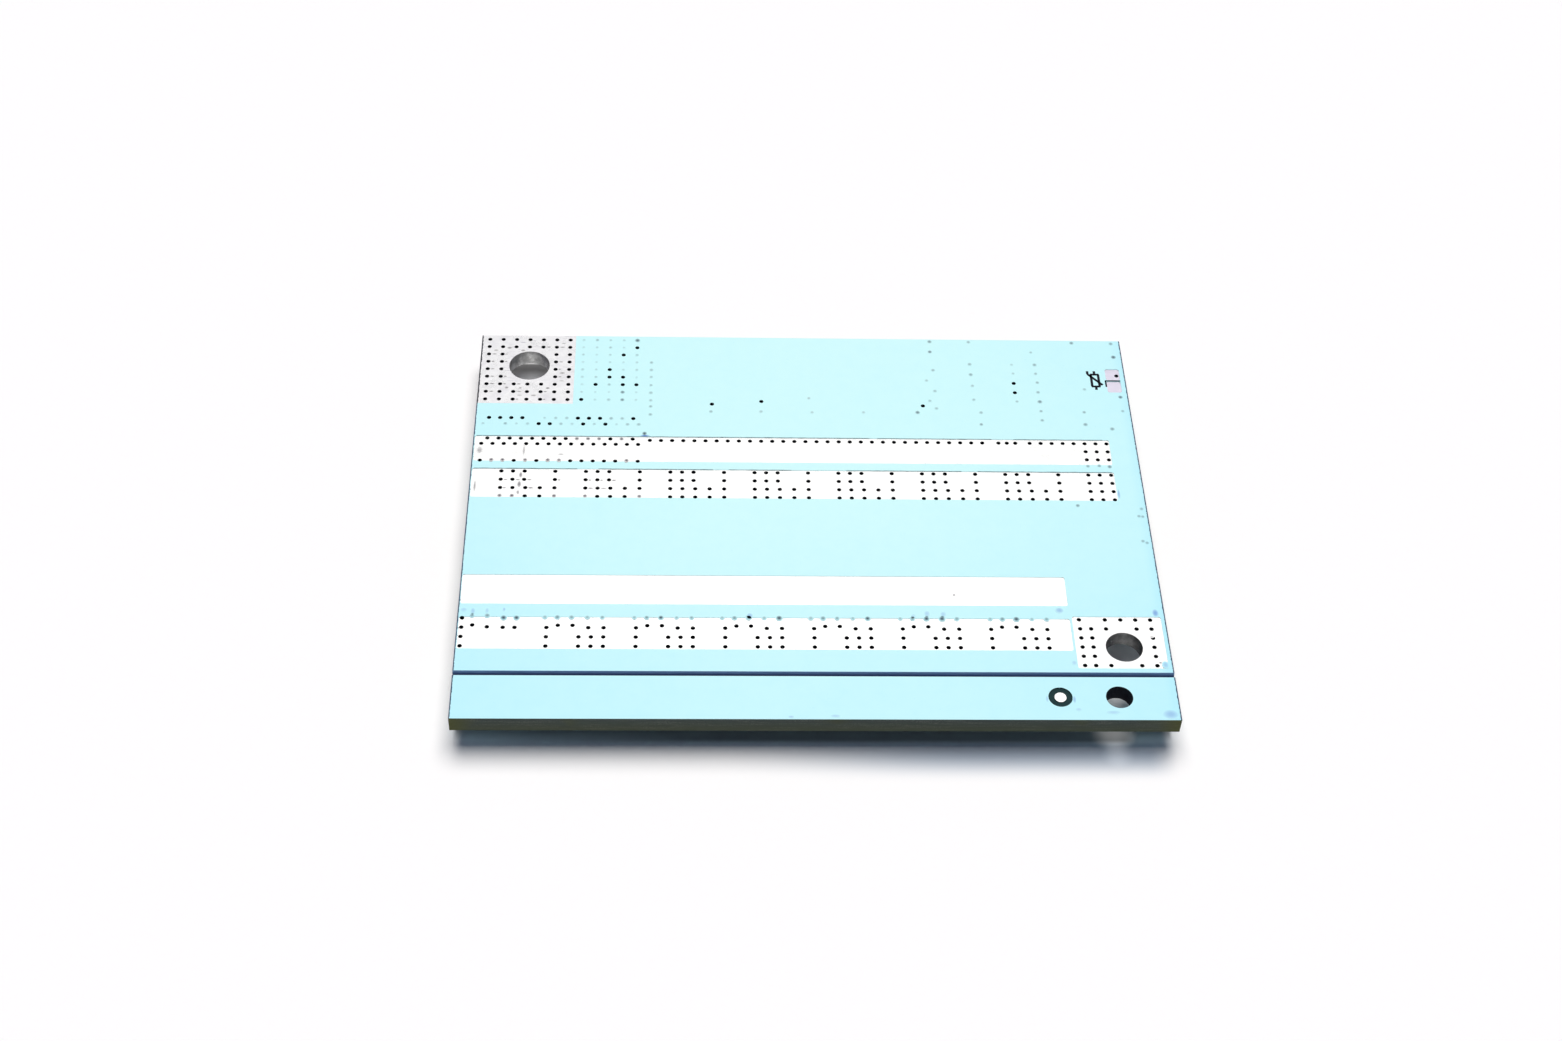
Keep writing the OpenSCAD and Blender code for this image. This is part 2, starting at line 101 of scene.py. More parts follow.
class BoardFinish(PropertyGroup):
    mask_colour: FloatVectorProperty(
        name="Mask", description="Solder mask where it lies thin over copper",
        subtype="COLOR", default=(0.625, 0.955, 0.96), min=0, max=1)
    mask_deep_colour: FloatVectorProperty(
        name="Deep mask", description="Solder mask where it lies thick or in shade",
        subtype="COLOR", default=(0.475, 0.86, 0.965), min=0, max=1)
    via_colour: FloatVectorProperty(
        name="Closed via", description="Heart of a via that the mask closes",
        subtype="COLOR", default=(0.01, 0.03, 0.06), min=0, max=1)
    stain_colour: FloatVectorProperty(
        name="Stain", description="Flux and finger marks on the mask",
        subtype="COLOR", default=(0.10, 0.22, 0.62), min=0, max=1)
    # Painted shade: this colour darkens the scores towards their bottom
    score_shade_colour: FloatVectorProperty(
        name="Score", description="Depth of the V-shaped scores",
        subtype="COLOR", default=(0.042, 0.066, 0.16), min=0, max=1)
    tin_colour: FloatVectorProperty(
        name="Tin", description="Levelled tin on the copper",
        subtype="COLOR", default=(0.78, 0.78, 0.775), min=0, max=1)
    worn_tin_colour: FloatVectorProperty(
        name="Worn tin", description="Scuffed and oxidised tin",
        subtype="COLOR", default=(0.42, 0.41, 0.46), min=0, max=1)
    laminate_colour: FloatVectorProperty(
        name="Laminate", description="Cut glass-epoxy edge",
        subtype="COLOR", default=(0.073, 0.101, 0.088), min=0, max=1)
    epoxy_colour: FloatVectorProperty(
        name="Epoxy", description="Moulded component bodies",
        subtype="COLOR", default=(0.018, 0.018, 0.020), min=0, max=1)
    dimple_radius: FloatProperty(
        name="Dimple radius", description="Closed via, out to where the mask lies flat",
        default=0.21 * MM, min=0.1 * MM, max=0.5 * MM, unit="LENGTH", precision=5)
    seed: IntProperty(
        name="Seed", description="Chooses how dark each closed via and small mark is",
        default=7, min=0)


class StudioSetup(PropertyGroup):
    lamp_elevation: FloatProperty(
        name="Lamp elevation", description="Height of the lamps above the horizon",
        default=math.radians(73.8), min=0, max=math.radians(90), subtype="ANGLE")
    lamp_turn: FloatProperty(
        name="Lamp turn", description="Turn of the lamps, behind the board, towards the right",
        default=math.radians(5), subtype="ANGLE")
    lamp_spread: FloatProperty(
        name="Lamp spread", description="Angle each lamp's disc fills, seen from the board",
        default=math.radians(44.5), min=0, max=math.pi, subtype="ANGLE")
    lamp_strength: FloatProperty(
        name="Lamp strength", description="Light of both lamps on a sheet square to them",
        default=3.17, min=0)
    lamp_colour: FloatVectorProperty(
        name="Lamp colour", description="Tint of the lamps, which evens out the sky's",
        subtype="COLOR", default=(1.0, 0.985, 0.955), min=0, max=1)
    sheen_share: FloatProperty(
        name="Sheen share", description="Part of the lamps' light that shows in shiny surfaces",
        default=0.22, min=0, max=1, subtype="FACTOR")
    sky_strength: FloatProperty(
        name="Sky strength", description="Even light from all round on matt surfaces",
        default=0.1, min=0)
    sky_colour: FloatVectorProperty(
        name="Sky colour", description="Tint of the even light, which fills the shadows",
        subtype="COLOR", default=(0.62, 0.58, 1.0), min=0, max=1)


# ---- Node helpers -----------------------------------------------------------

def add_node(tree, kind, sockets=None, **settings):
    """Adds a shader node, changes its settings, and gives each socket a value or a link."""
    node = tree.nodes.new("ShaderNode" + kind)
    for name, value in settings.items():
        setattr(node, name, value)
    for name, value in (sockets or {}).items():
        if isinstance(value, bpy.types.NodeSocket):
            tree.links.new(value, node.inputs[name])
        else:
            node.inputs[name].default_value = value
    return node


def calc(tree, operation, *values):
    return add_node(tree, "Math", dict(enumerate(values)), operation=operation).outputs[0]


def chained(operation):
    """Arithmetic that takes any number of values, from the first to the last."""
    def join(tree, result, *values):
        for value in values:
            result = calc(tree, operation, result, value)
        return result
    return join


total = chained("ADD")
product = chained("MULTIPLY")
smallest = chained("MINIMUM")
largest = chained("MAXIMUM")


def difference(tree, first, second):
    return calc(tree, "SUBTRACT", first, second)


def above(tree, value, limit):
    return calc(tree, "GREATER_THAN", value, limit)


def below(tree, value, limit):
    return calc(tree, "LESS_THAN", value, limit)


def absolute(tree, value):
    return calc(tree, "ABSOLUTE", value)


def mix_colour(tree, factor, first, second, blend="MIX"):
    sockets = {0: factor, 6: first, 7: second}
    return add_node(tree, "Mix", sockets, data_type="RGBA", blend_type=blend).outputs[2]


def mix_value(tree, factor, first, second):
    return add_node(tree, "Mix", {0: factor, 2: first, 3: second}).outputs[0]


def grey(tree, value):
    return add_node(tree, "CombineColor", {0: value, 1: value, 2: value}).outputs[0]


def ramp(tree, value, low, high, low_result=0.0, high_result=1.0):
    """Goes smoothly from low_result to high_result while value goes from low to high."""
    sockets = {"Value": value, "From Min": low, "From Max": high,
               "To Min": low_result, "To Max": high_result}
    return add_node(tree, "MapRange", sockets, interpolation_type="SMOOTHSTEP").outputs["Result"]


def noise(tree, point, size, detail=2.0, roughness=0.5):
    """Noise whose features are about size metres across."""
    sockets = {"Vector": point, "Scale": 1 / size, "Detail": detail, "Roughness": roughness}
    return add_node(tree, "TexNoise", sockets).outputs[0]


def stretched(tree, point, scale):
    return add_node(tree, "Mapping", {"Vector": point, "Scale": scale}).outputs[0]


def axes(tree, vector):
    return add_node(tree, "SeparateXYZ", {0: vector}).outputs


def face_normal(tree):
    """The three parts of a face's own normal, which takes no notice of bump."""
    return axes(tree, add_node(tree, "NewGeometry").outputs["True Normal"])


def distance_from(tree, point, centre):
    """Distance from centre in plan."""
    plan = add_node(tree, "VectorMath", {0: point, 1: (1, 1, 0)}, operation="MULTIPLY").outputs[0]
    return add_node(tree, "VectorMath", {0: plan, 1: (centre.x, centre.y, 0)},
                    operation="DISTANCE").outputs["Value"]


def new_group(name, **inputs):
    """A shader group; returns it, its Coordinates and its other inputs, given as name=kind."""
    group = bpy.data.node_groups.new(name, "ShaderNodeTree")
    for label, kind in {"Coordinates": "Vector", **inputs}.items():
        group.interface.new_socket(label, in_out="INPUT", socket_type="NodeSocket" + kind)
    given = group.nodes.new("NodeGroupInput").outputs
    return group, given["Coordinates"], given


def finish_group(group, **results):
    """Gives a group its outputs, which are all values except for Color."""
    end = group.nodes.new("NodeGroupOutput")
    for label, socket in results.items():
        kind = "NodeSocketColor" if label == "Color" else "NodeSocketFloat"
        group.interface.new_socket(label, in_out="OUTPUT", socket_type=kind)
        group.links.new(socket, end.inputs[label])
    return group


def use_group(tree, name, point, **values):
    """The outputs of a shared group, which is built when it is first used."""
    group = bpy.data.node_groups.get(name) or GROUP_MAKERS[name]()
    sockets = {"Coordinates": point, **values}
    return add_node(tree, "Group", sockets, node_tree=group).outputs


# ---- Shared surface groups --------------------------------------------------

# Colours of what is too small to be set by itself
GLASS_ENDS = (0.30, 0.31, 0.27, 1)
OLIVE_RESIN = (0.105, 0.12, 0.035, 1)
# Painted shade: near-black walls of the drilled holes, which lie in shade
HOLE_WALL_SHADE = (0.004, 0.006, 0.014, 1)
OPENING_BED = (0.003, 0.022, 0.024, 1)
SCORE_LIP = (0.24, 0.42, 0.68, 1)
BARE_RIM = (0.05, 0.08, 0.14, 1)
CUT_COPPER = (0.06, 0.06, 0.07, 1)
RUBBED_TIN = (0.07, 0.06, 0.08, 1)
EPOXY_DUST = (0.09, 0.088, 0.085, 1)
INK = (0.001, 0.002, 0.008, 1)
THIN_INK = (0.06, 0.1, 0.13, 1)


def mask_film_group():
    """Solder mask: clouded, bluer to the front and sides, with flecks and orange peel."""
    group, point, given = new_group("Mask film", Thin="Color", Deep="Color")
    x, y, _ = axes(group, point)
    cloud = noise(group, point, 14 * MM, 3)
    clouds = product(group, difference(group, cloud, 0.5), 0.24)
    to_front = ramp(group, y, FRONT, 3 * MM, 0.42, 0.02)
    to_sides = product(group, calc(group, "POWER", product(group, x, 1 / RIGHT), 2), 0.33)
    rim = ramp(group, x, RIGHT - 1.2 * MM, RIGHT, 0, 0.35)
    fleck = ramp(group, noise(group, point, 0.16 * MM, 1), 0.72, 0.80, 0, 0.35)
    mottle = ramp(group, noise(group, point, 1.3 * MM, 4, 0.6), 0.35, 0.75, 0, 0.10)
    depth = total(group, to_front, clouds, to_sides, rim, fleck, mottle)
    gloss = noise(group, point, 2.2 * MM, 3)
    depth = smallest(group, largest(group, depth, 0), 1)
    return finish_group(
        group, Color=mix_colour(group, depth, given["Thin"], given["Deep"]),
        Roughness=ramp(group, gloss, 0.3, 0.7, 0.30, 0.44),
        Height=noise(group, point, 0.5 * MM, 3, 0.6))


def tinned_surface_group():
    """Levelled tin: blotches, fine grain, and scuffs that run along the board."""
    group, point, given = new_group("Tinned surface", Bright="Color", Worn="Color", Scuff="Float")
    blotch = noise(group, point, 1.6 * MM, 4, 0.55)
    grain = noise(group, point, 0.12 * MM, 2)
    along = stretched(group, point, (0.12, 1.0, 1.0))
    lines = ramp(group, noise(group, along, 0.13 * MM, 3, 0.7), 0.56, 0.72)
    patches = ramp(group, noise(group, point, 2.6 * MM, 3), 0.46, 0.62)
    rubbed = product(group, lines, patches, given["Scuff"])
    dull = product(group, ramp(group, blotch, 0.42, 0.72), given["Scuff"], 0.35)
    wear = smallest(group, total(group, rubbed, dull), 1)
    return finish_group(
        group, Color=mix_colour(group, wear, given["Bright"], given["Worn"]),
        Roughness=ramp(group, blotch, 0.3, 0.7, 0.24, 0.42),
        Height=total(group, blotch, product(group, grain, 0.12)))


def cut_laminate_group():
    """Cut edge of glass-epoxy: plies along it, and pale broken ends of glass."""
    group, point, given = new_group("Cut laminate", Resin="Color")
    plies = noise(group, stretched(group, point, (0.06, 0.06, 1.0)), 0.16 * MM, 2, 0.6)
    ends = noise(group, point, 0.09 * MM, 3, 0.65)
    pale = product(group, ramp(group, plies, 0.45, 0.65), ramp(group, ends, 0.4, 0.7))
    glass = mix_colour(group, 0.55, given["Resin"], GLASS_ENDS)
    return finish_group(group, Color=mix_colour(group, pale, given["Resin"], glass),
                        Height=total(group, plies, product(group, ends, 0.6)))


def moulded_grain_group():
    """Sparked texture of a moulded epoxy body with a faint dusting."""
    group, point, given = new_group("Moulded grain", Epoxy="Color")
    grain = noise(group, point, 0.07 * MM, 2)
    dust = ramp(group, noise(group, point, 0.9 * MM, 4, 0.6), 0.5, 0.8, 0, 0.30)
    return finish_group(group, Color=mix_colour(group, dust, given["Epoxy"], EPOXY_DUST),
                        Roughness=ramp(group, grain, 0.3, 0.7, 0.48, 0.66), Height=grain)


GROUP_MAKERS = {"Mask film": mask_film_group, "Tinned surface": tinned_surface_group,
                "Cut laminate": cut_laminate_group, "Moulded grain": moulded_grain_group}


# ---- Materials --------------------------------------------------------------

def rgba(colour):
    return (*colour, 1)


def new_material(name):
    """An empty material; returns it, its tree, and the Object coordinates of a point on it."""
    material = bpy.data.materials.new(name)
    material.use_nodes = True
    tree = material.node_tree
    tree.nodes.clear()
    return material, tree, add_node(tree, "TexCoord").outputs["Object"]


def surface(tree, sockets, height=None, depth=0.0):
    """The one Principled shader of a material, with height as a bump of depth metres."""
    if height is not None:
        bump = add_node(tree, "Bump", {"Height": height, "Distance": depth})
        sockets = {**sockets, "Normal": bump.outputs[0]}
    shader = add_node(tree, "BsdfPrincipled", sockets)
    add_node(tree, "OutputMaterial", {0: shader.outputs[0]})


def mask_film(tree, point, looks):
    return use_group(tree, "Mask film", point, Thin=rgba(looks.mask_colour),
                     Deep=rgba(looks.mask_deep_colour))


def tinned_surface(tree, point, looks, scuff):
    return use_group(tree, "Tinned surface", point, Bright=rgba(looks.tin_colour),
                     Worn=rgba(looks.worn_tin_colour), Scuff=scuff)


# A face at least this far out is the board's cut edge
EDGE_X = (RIGHT - LEFT) / 2 - 0.02 * MM
EDGE_Y = (REAR - FRONT) / 2 - 0.02 * MM
# Depths under either face: a level face below the first lies in an opening of the mask, an
# upright one down to the second is an opening's wall, and a score is pale down to the third
OPENING_STEP = 0.06 * MM
OPENING_DEPTH = 0.13 * MM
SCORE_LIP_DEPTH = 0.34 * MM
# What lies no further than this outside a hole's radius is its wall
HOLE_MARGIN = 0.15 * MM
BORE_MARGIN = 0.1 * MM
# The most that the mask and the tin draw back from the board's cut sides
MASK_DRAW = 0.16 * MM
TIN_DRAW = 0.28 * MM


def ragged(tree, point, reach):
    """A ragged width between nothing and reach."""
    return product(tree, noise(tree, point, 0.35 * MM, 3, 0.7), reach)


def olive_edge(tree, point, laminate):
    """The laminate's colour, turned olive in patches, towards the board's ends and downwards."""
    x, _, z = axes(tree, point)
    patches = ramp(tree, noise(tree, point, 5 * MM, 2), 0.5, 0.75, 0, 0.6)
    to_end = ramp(tree, absolute(tree, x), EDGE_X - 3 * MM, EDGE_X)
    downwards = ramp(tree, z, UNDER, TOP, 0.4, 0)
    return mix_colour(tree, largest(tree, to_end, downwards, patches), laminate, OLIVE_RESIN)


def board_material(looks):
    """Mask on both faces, cut laminate on the edges and scores, painted shade in the holes and
    scores.
    """
    material, tree, point = new_material("board_mask_and_laminate")
    film = mask_film(tree, point, looks)
    cut = use_group(tree, "Cut laminate", point, Resin=rgba(looks.laminate_colour))
    x, y, z = axes(tree, point)
    n_x, n_y, n_z = face_normal(tree)
    half_t = (TOP - UNDER) / 2
    from_middle = absolute(tree, difference(tree, z, (TOP + UNDER) / 2))
    flat = above(tree, absolute(tree, n_z), 0.9)
    sloping = difference(tree, above(tree, absolute(tree, n_z), 0.2), flat)
    straight = above(tree, largest(tree, absolute(tree, n_x), absolute(tree, n_y)), 0.9995)
    outer = largest(tree, above(tree, absolute(tree, x), EDGE_X),
                    above(tree, absolute(tree, y), EDGE_Y))
    # The mask draws back from the cut sides by a hair
    bare_rim = below(tree, difference(tree, EDGE_X, absolute(tree, x)),
                     ragged(tree, point, MASK_DRAW))
    sunk = below(tree, from_middle, half_t - OPENING_STEP)
    on_face = product(tree, flat, difference(tree, 1, largest(tree, bare_rim, sunk)))
    # It also shows on the straight walls of its openings, but not in the drilled holes
    centre, radius = TOOLING_HOLE
    undrilled = above(tree, distance_from(tree, point, centre), radius + HOLE_MARGIN)
    shallow = above(tree, from_middle, half_t - OPENING_DEPTH)
    on_wall = product(tree, straight, shallow, undrilled, difference(tree, 1, outer))
    coated = largest(tree, on_face, on_wall)
    uncoated = mix_colour(tree, product(tree, flat, sunk), HOLE_WALL_SHADE, OPENING_BED)
    uncoated = mix_colour(tree, outer, uncoated, olive_edge(tree, point, cut["Color"]))
    # Painted shade: the scores darken below their pale lip, and the hole walls are near black
    score_shade = mix_colour(tree, ramp(tree, from_middle, half_t - SCORE_LIP_DEPTH, half_t),
                          rgba(looks.score_shade_colour), SCORE_LIP)
    uncoated = mix_colour(tree, sloping, uncoated, score_shade)
    uncoated = mix_colour(tree, product(tree, flat, bare_rim), uncoated, BARE_RIM)
    surface(tree, {
        "Base Color": mix_colour(tree, coated, uncoated, film["Color"]),
        "Roughness": mix_value(tree, coated, 0.7, film["Roughness"]),
        "Specular IOR Level": 0.35},
        mix_value(tree, coated, cut["Height"], product(tree, film["Height"], 0.15)), 0.03 * MM)
    return material


def painted_bore_shade(tree, point, outside, bore, light):
    """Painted shade on upright tin: patchy and of that light in the bore, and the outside one
    elsewhere.
    """
    centre, radius = bore
    in_bore = below(tree, distance_from(tree, point, centre), radius + BORE_MARGIN)
    patches = ramp(tree, noise(tree, point, 0.7 * MM, 3, 0.6), 0.35, 0.7, 0.55, 1)
    return mix_colour(tree, in_bore, outside, grey(tree, product(tree, patches, light)))


def tin_material(name, looks, scuff, relief, tint=(1, 1, 1), wall=None, bore=None, painted_bore_grey=0):
    """Tin on copper, cut at the board's sides; wall and the bore grey set painted shade on its
    walls.
    """
    material, tree, point = new_material(name)
    tin = tinned_surface(tree, point, looks, scuff)
    colour = mix_colour(tree, 1.0, tin["Color"], rgba(tint), "MULTIPLY")
    # Painted shade: the tin's upright faces, in vias and bores, are darkened
    if wall:
        upright = below(tree, absolute(tree, face_normal(tree)[2]), 0.5)
        side = absolute(tree, axes(tree, point)[0])
        cut = above(tree, total(tree, side, ragged(tree, point, TIN_DRAW)), RIGHT)
        painted_wall_colour = (wall, wall, wall, 1)
        if bore:
            painted_wall_colour = painted_bore_shade(tree, point, painted_wall_colour, bore, painted_bore_grey)
        colour = mix_colour(tree, upright, colour, painted_wall_colour)
        colour = mix_colour(tree, cut, colour, CUT_COPPER)
    surface(tree, {"Base Color": colour, "Roughness": tin["Roughness"], "Metallic": 1.0},
            tin["Height"], relief * MM)
    return material


def package_material(name, looks, axis, low, high, body_colour=None):
    """A component whose body lies between low and high on one axis, with tinned leads outside."""
    material, tree, point = new_material(name)
    tin = tinned_surface(tree, point, looks, 0.5)
    epoxy = use_group(tree, "Moulded grain", point, Epoxy=rgba(body_colour or looks.epoxy_colour))
    place = axes(tree, point)[axis]
    body = product(tree, above(tree, place, low), below(tree, place, high))
    surface(tree, {
        "Base Color": mix_colour(tree, body, tin["Color"], epoxy["Color"]),
        "Roughness": mix_value(tree, body, tin["Roughness"], epoxy["Roughness"]),
        "Metallic": difference(tree, 1, body)},
        mix_value(tree, body, tin["Height"], epoxy["Height"]), 0.01 * MM)
    return material


def piece_shade(tree):
    """The shade that a piece's own mesh carries, from 0 to 1."""
    return add_node(tree, "Attribute", attribute_name=SHADE).outputs["Fac"]


def stain_material(name, looks, colour):
    """Mask that turns to another colour with the piece's own shade."""
    material, tree, point = new_material(name)
    film = mask_film(tree, point, looks)
    surface(tree, {
        "Base Color": mix_colour(tree, piece_shade(tree), film["Color"], rgba(colour)),
        "Roughness": film["Roughness"]}, film["Height"], 0.004 * MM)
    return material


def rubbed_tin_material(looks):
    """Tin that dulls with the piece's own shade."""
    material, tree, point = new_material("rubbed_tin")
    tin = tinned_surface(tree, point, looks, 0.4)
    shade = piece_shade(tree)
    surface(tree, {
        "Base Color": mix_colour(tree, shade, tin["Color"], RUBBED_TIN),
        "Roughness": tin["Roughness"], "Metallic": difference(tree, 1, shade)},
        tin["Height"], 0.02 * MM)
    return material


def ink_material():
    material, tree, point = new_material("marking_ink")
    thin = ramp(tree, noise(tree, point, 0.12 * MM, 3, 0.7), 0.55, 0.85, 0, 0.4)
    surface(tree, {"Base Color": mix_colour(tree, thin, INK, THIN_INK), "Roughness": 0.6,
                   "Specular IOR Level": 0.2})
    return material


def assign(material, nodes):
    for node in nodes:
        mesh = frame["nodes"][node].data
        mesh.materials.clear()
        mesh.materials.append(material)


# ---- Mesh helpers -----------------------------------------------------------

# Height of what is added on the mask or the tin
FILM_LIFT = 0.012 * MM
# Steps from a spot's rim to its heart: how far in each goes, and its share of the spot's shade
SPOT_RINGS = ((0.30, 0.55), (0.30, 0.9), (0.22, 1.0))
SPOT_TAPER = 0.94
# Sides of the outline of a small spot, of a mark on the tin and of a stain
SPOT_SIDES = 10
MARK_SIDES = 14
STAIN_SIDES = 16


def make_object(name, material, fill, *values):
    """An object of one material, with the mesh that fill makes of the values."""
    bm = bmesh.new()
    fill(bm, *values)
    mesh = bpy.data.meshes.new(name)
    bm.to_mesh(mesh)
    bm.free()
    mesh.materials.append(material)
    made = bpy.data.objects.new(name, mesh)
    bpy.context.scene.collection.objects.link(made)
    return made


def add_piece(name, slot, material, fill, *values):
    """A new piece, which rides on the board."""
    piece = make_object(name, material, fill, *values)
    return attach(piece, BODY)


def at_verts(verts, links):
    """The edges or faces at some verts, each of them once."""
    return list(dict.fromkeys(item for v in verts for item in getattr(v, links)))


def facing(verts, way):
    """The face at these verts that looks most along way."""
    return max(at_verts(verts, "link_faces"), key=lambda face: face.normal.dot(way))


def add_spot(bm, layer, centre, radii, shade, sides=SPOT_SIDES):
    """A low swelling on the mask or the tin, whose shade grows from its rim to its heart."""
    verts = bmesh.ops.create_cone(bm, cap_ends=True, segments=sides, radius1=1.0,
                                  radius2=SPOT_TAPER, depth=1.0)["verts"]
    bm.normal_update()
    top = facing(verts, Vector((0, 0, 1)))
    made = set(verts)
    for thickness, strength in SPOT_RINGS:
        ring = bmesh.ops.inset_region(bm, faces=[top], thickness=thickness,
                                      use_even_offset=True)["faces"]
        made.update(v for face in ring for v in face.verts)
        for v in top.verts:
            v[layer] = shade * strength
    place = Matrix.Translation(centre) @ Matrix.Diagonal((radii[0], radii[1], FILM_LIFT, 1))
    bmesh.ops.transform(bm, matrix=place, verts=list(made))


def add_bar(bm, start, end, width, cuts=1):
    """A flat bar between two points of the board's face, cut across into so many lengths."""
    along = end - start
    verts = bmesh.ops.create_grid(bm, x_segments=cuts, y_segments=1, size=0.5)["verts"]
    turn = Matrix.Rotation(math.atan2(along.y, along.x), 4, "Z")
    scale = Matrix.Diagonal((along.length, width, 1, 1))
    upper = (start + end) / 2 + Vector((0, 0, FILM_LIFT))
    bmesh.ops.transform(bm, matrix=Matrix.Translation(upper) @ turn @ scale, verts=verts)
    bmesh.ops.solidify(bm, geom=at_verts(verts, "link_faces"), thickness=FILM_LIFT)


# ---- Closed vias and stains -------------------------------------------------

# Grid of vias that runs on past the battery pad: its first column from the left edge, its first
# row from the far edge, its pitches, and the columns and rows beside the pad
FIELD_X0 = 0.76
FIELD_FAR = 0.53
FIELD_PITCH = (1.27, 1.0)
FIELD_COLUMNS = range(7, 12)
FIELD_ROWS = range(9)
# Column and row of its vias that the mask leaves open, and of those that show dark through it
OPEN_IN_FIELD = {(11, 1), (10, 2), (9, 4), (9, 5), (10, 5), (8, 6), (10, 6), (11, 6), (7, 8)}
DARK_IN_FIELD = {(11, 0): 0.9, (10, 7): 0.8, (10, 8): 0.8, (8, 0): 0.5}
# Column right of the grid, as x and its vias' y
SIDE_COLUMN = (16.1, (42.24, 41.24, 40.3, 39.2, 38.2, 37.2, 36.4, 35.35))
# Two rows in front of the pad, as the first x, y, and the vias that are there
ROW_PITCH = 1.02
OUTER_ROW = (1.27, 34.8, (5, 6, 7, 11, 12))
INNER_ROW = (0.76, 34.05, (0, 2, 3, 4, 7, 8, 10, 12, 13, 14))
# Groups in front of the charge strip: their first x, the step and darkness of each of their vias,
# and the group and number of the darkest ones
GROUP_X = (7.46, 15.1, 22.62, 30.24, 37.95, 45.74)
GROUP_STEPS = ((0.0, 0.5), (1.06, 0.72), (2.27, 0.62), (3.62, 0.5), (4.9, 0.62))
GROUP_Y = 10.9
GROUP_DARK = {(1, 2), (2, 4), (3, 4), (4, 2), (4, 3), (5, 2)}

# x, y and darkness of each closed via that stands in no row
SINGLE_VIAS = (
    (21.7, 35.8, 0.5), (26.35, 35.85, 0.4), (30.85, 37.65, 0.4), (31.1, 35.8, 0.35),
    (35.9, 35.85, 0.35), (40.95, 35.9, 0.8), (42.2, 37.45, 0.45), (42.75, 36.45, 0.45),
    (42.75, 38.75, 0.45), (42.05, 40.15, 0.4), (42.75, 41.55, 0.5), (42.6, 44.05, 0.8),
    (42.65, 45.45, 0.7), (46.4, 45.45, 0.5), (46.3, 42.4, 0.5), (46.3, 41.0, 0.6),
    (46.35, 39.5, 0.45), (46.35, 37.65, 0.45), (46.9, 35.95, 0.5), (46.8, 34.4, 0.65),
    (50.3, 42.4, 0.3), (50.35, 41.2, 0.35), (50.4, 37.45, 0.45), (52.3, 44.1, 0.4),
    (52.5, 42.4, 0.6), (52.5, 41.2, 0.5), (52.55, 40.0, 0.55), (52.5, 38.7, 0.55),
    (52.55, 37.45, 0.75), (52.55, 36.2, 0.55), (52.55, 35.0, 0.55), (56.35, 45.45, 0.7),
    (60.15, 45.4, 0.6), (60.2, 43.55, 0.9), (56.95, 39.15, 0.4), (60.25, 38.15, 0.85),
    (60.25, 36.3, 0.45), (56.6, 36.1, 0.55), (56.55, 34.5, 0.65), (59.0, 33.95, 0.65),
    (54.75, 24.25, 0.7), (15.6, 32.9, 0.95), (56.2, 29.15, 0.6), (57.25, 29.2, 0.6),
    (58.2, 29.1, 0.75), (60.5, 23.9, 0.5), (60.15, 23.0, 0.5), (60.5, 22.95, 0.5),
    (60.15, 20.0, 0.5), (60.5, 19.8, 0.5), (1.25, 11.05, 0.65), (2.55, 11.05, 0.65),
    (3.95, 10.82, 1.0), (5.05, 10.82, 1.0))

# x, y, half width, half length and darkness of stains of flux and finger marks
STAINS = (
    (51.85, 11.9, 0.42, 0.36, 0.5), (60.2, 11.65, 0.32, 0.5, 0.75), (40.3, 11.45, 0.3, 0.4, 0.35),
    (41.7, 11.4, 0.3, 0.35, 0.35), (39.1, 11.2, 0.25, 0.25, 0.25), (25.0, 11.15, 0.3, 0.35, 0.55),
    (1.3, 11.55, 0.22, 0.4, 0.4), (2.5, 11.6, 0.18, 0.35, 0.3), (3.95, 11.75, 0.14, 0.24, 0.45),
    (0.5, 11.7, 0.35, 0.25, 0.3), (60.1, 0.6, 0.75, 0.55, 0.5), (55.3, 0.8, 0.7, 0.22, 0.3),
    (52.15, 2.15, 0.16, 0.45, 0.5), (49.85, 2.2, 0.14, 0.4, 0.35), (58.65, 25.7, 0.14, 0.7, 0.6),
    (52.55, 6.1, 0.25, 0.3, 0.3), (60.35, 5.9, 0.3, 0.4, 0.4), (52.4, 1.1, 0.3, 0.2, 0.25),
    (32.0, 0.35, 0.5, 0.2, 0.3), (28.3, 0.25, 0.3, 0.15, 0.35), (15.65, 32.6, 0.55, 0.13, 1.0))


def closed_via_places(dice):
    """Each closed via as (x, y, darkness)."""
    places = list(SINGLE_VIAS)
    for column in FIELD_COLUMNS:
        for row in FIELD_ROWS:
            if (column, row) in OPEN_IN_FIELD:
                continue
            shade = DARK_IN_FIELD.get((column, row), dice.uniform(0.2, 0.45))
            places.append((FIELD_X0 + column * FIELD_PITCH[0],
                           BOARD_L - FIELD_FAR - row * FIELD_PITCH[1], shade))
    x, ys = SIDE_COLUMN
    places += [(x, y, dice.uniform(0.35, 0.6)) for y in ys]
    for x0, y, steps in (OUTER_ROW, INNER_ROW):
        places += [(x0 + k * ROW_PITCH, y, dice.uniform(0.25, 0.55)) for k in steps]
    for group, x0 in enumerate(GROUP_X):
        for step, (dx, shade) in enumerate(GROUP_STEPS):
            dark = 1.0 if (group, step) in GROUP_DARK else shade
            places.append((x0 + dx, GROUP_Y, dark))
    return places


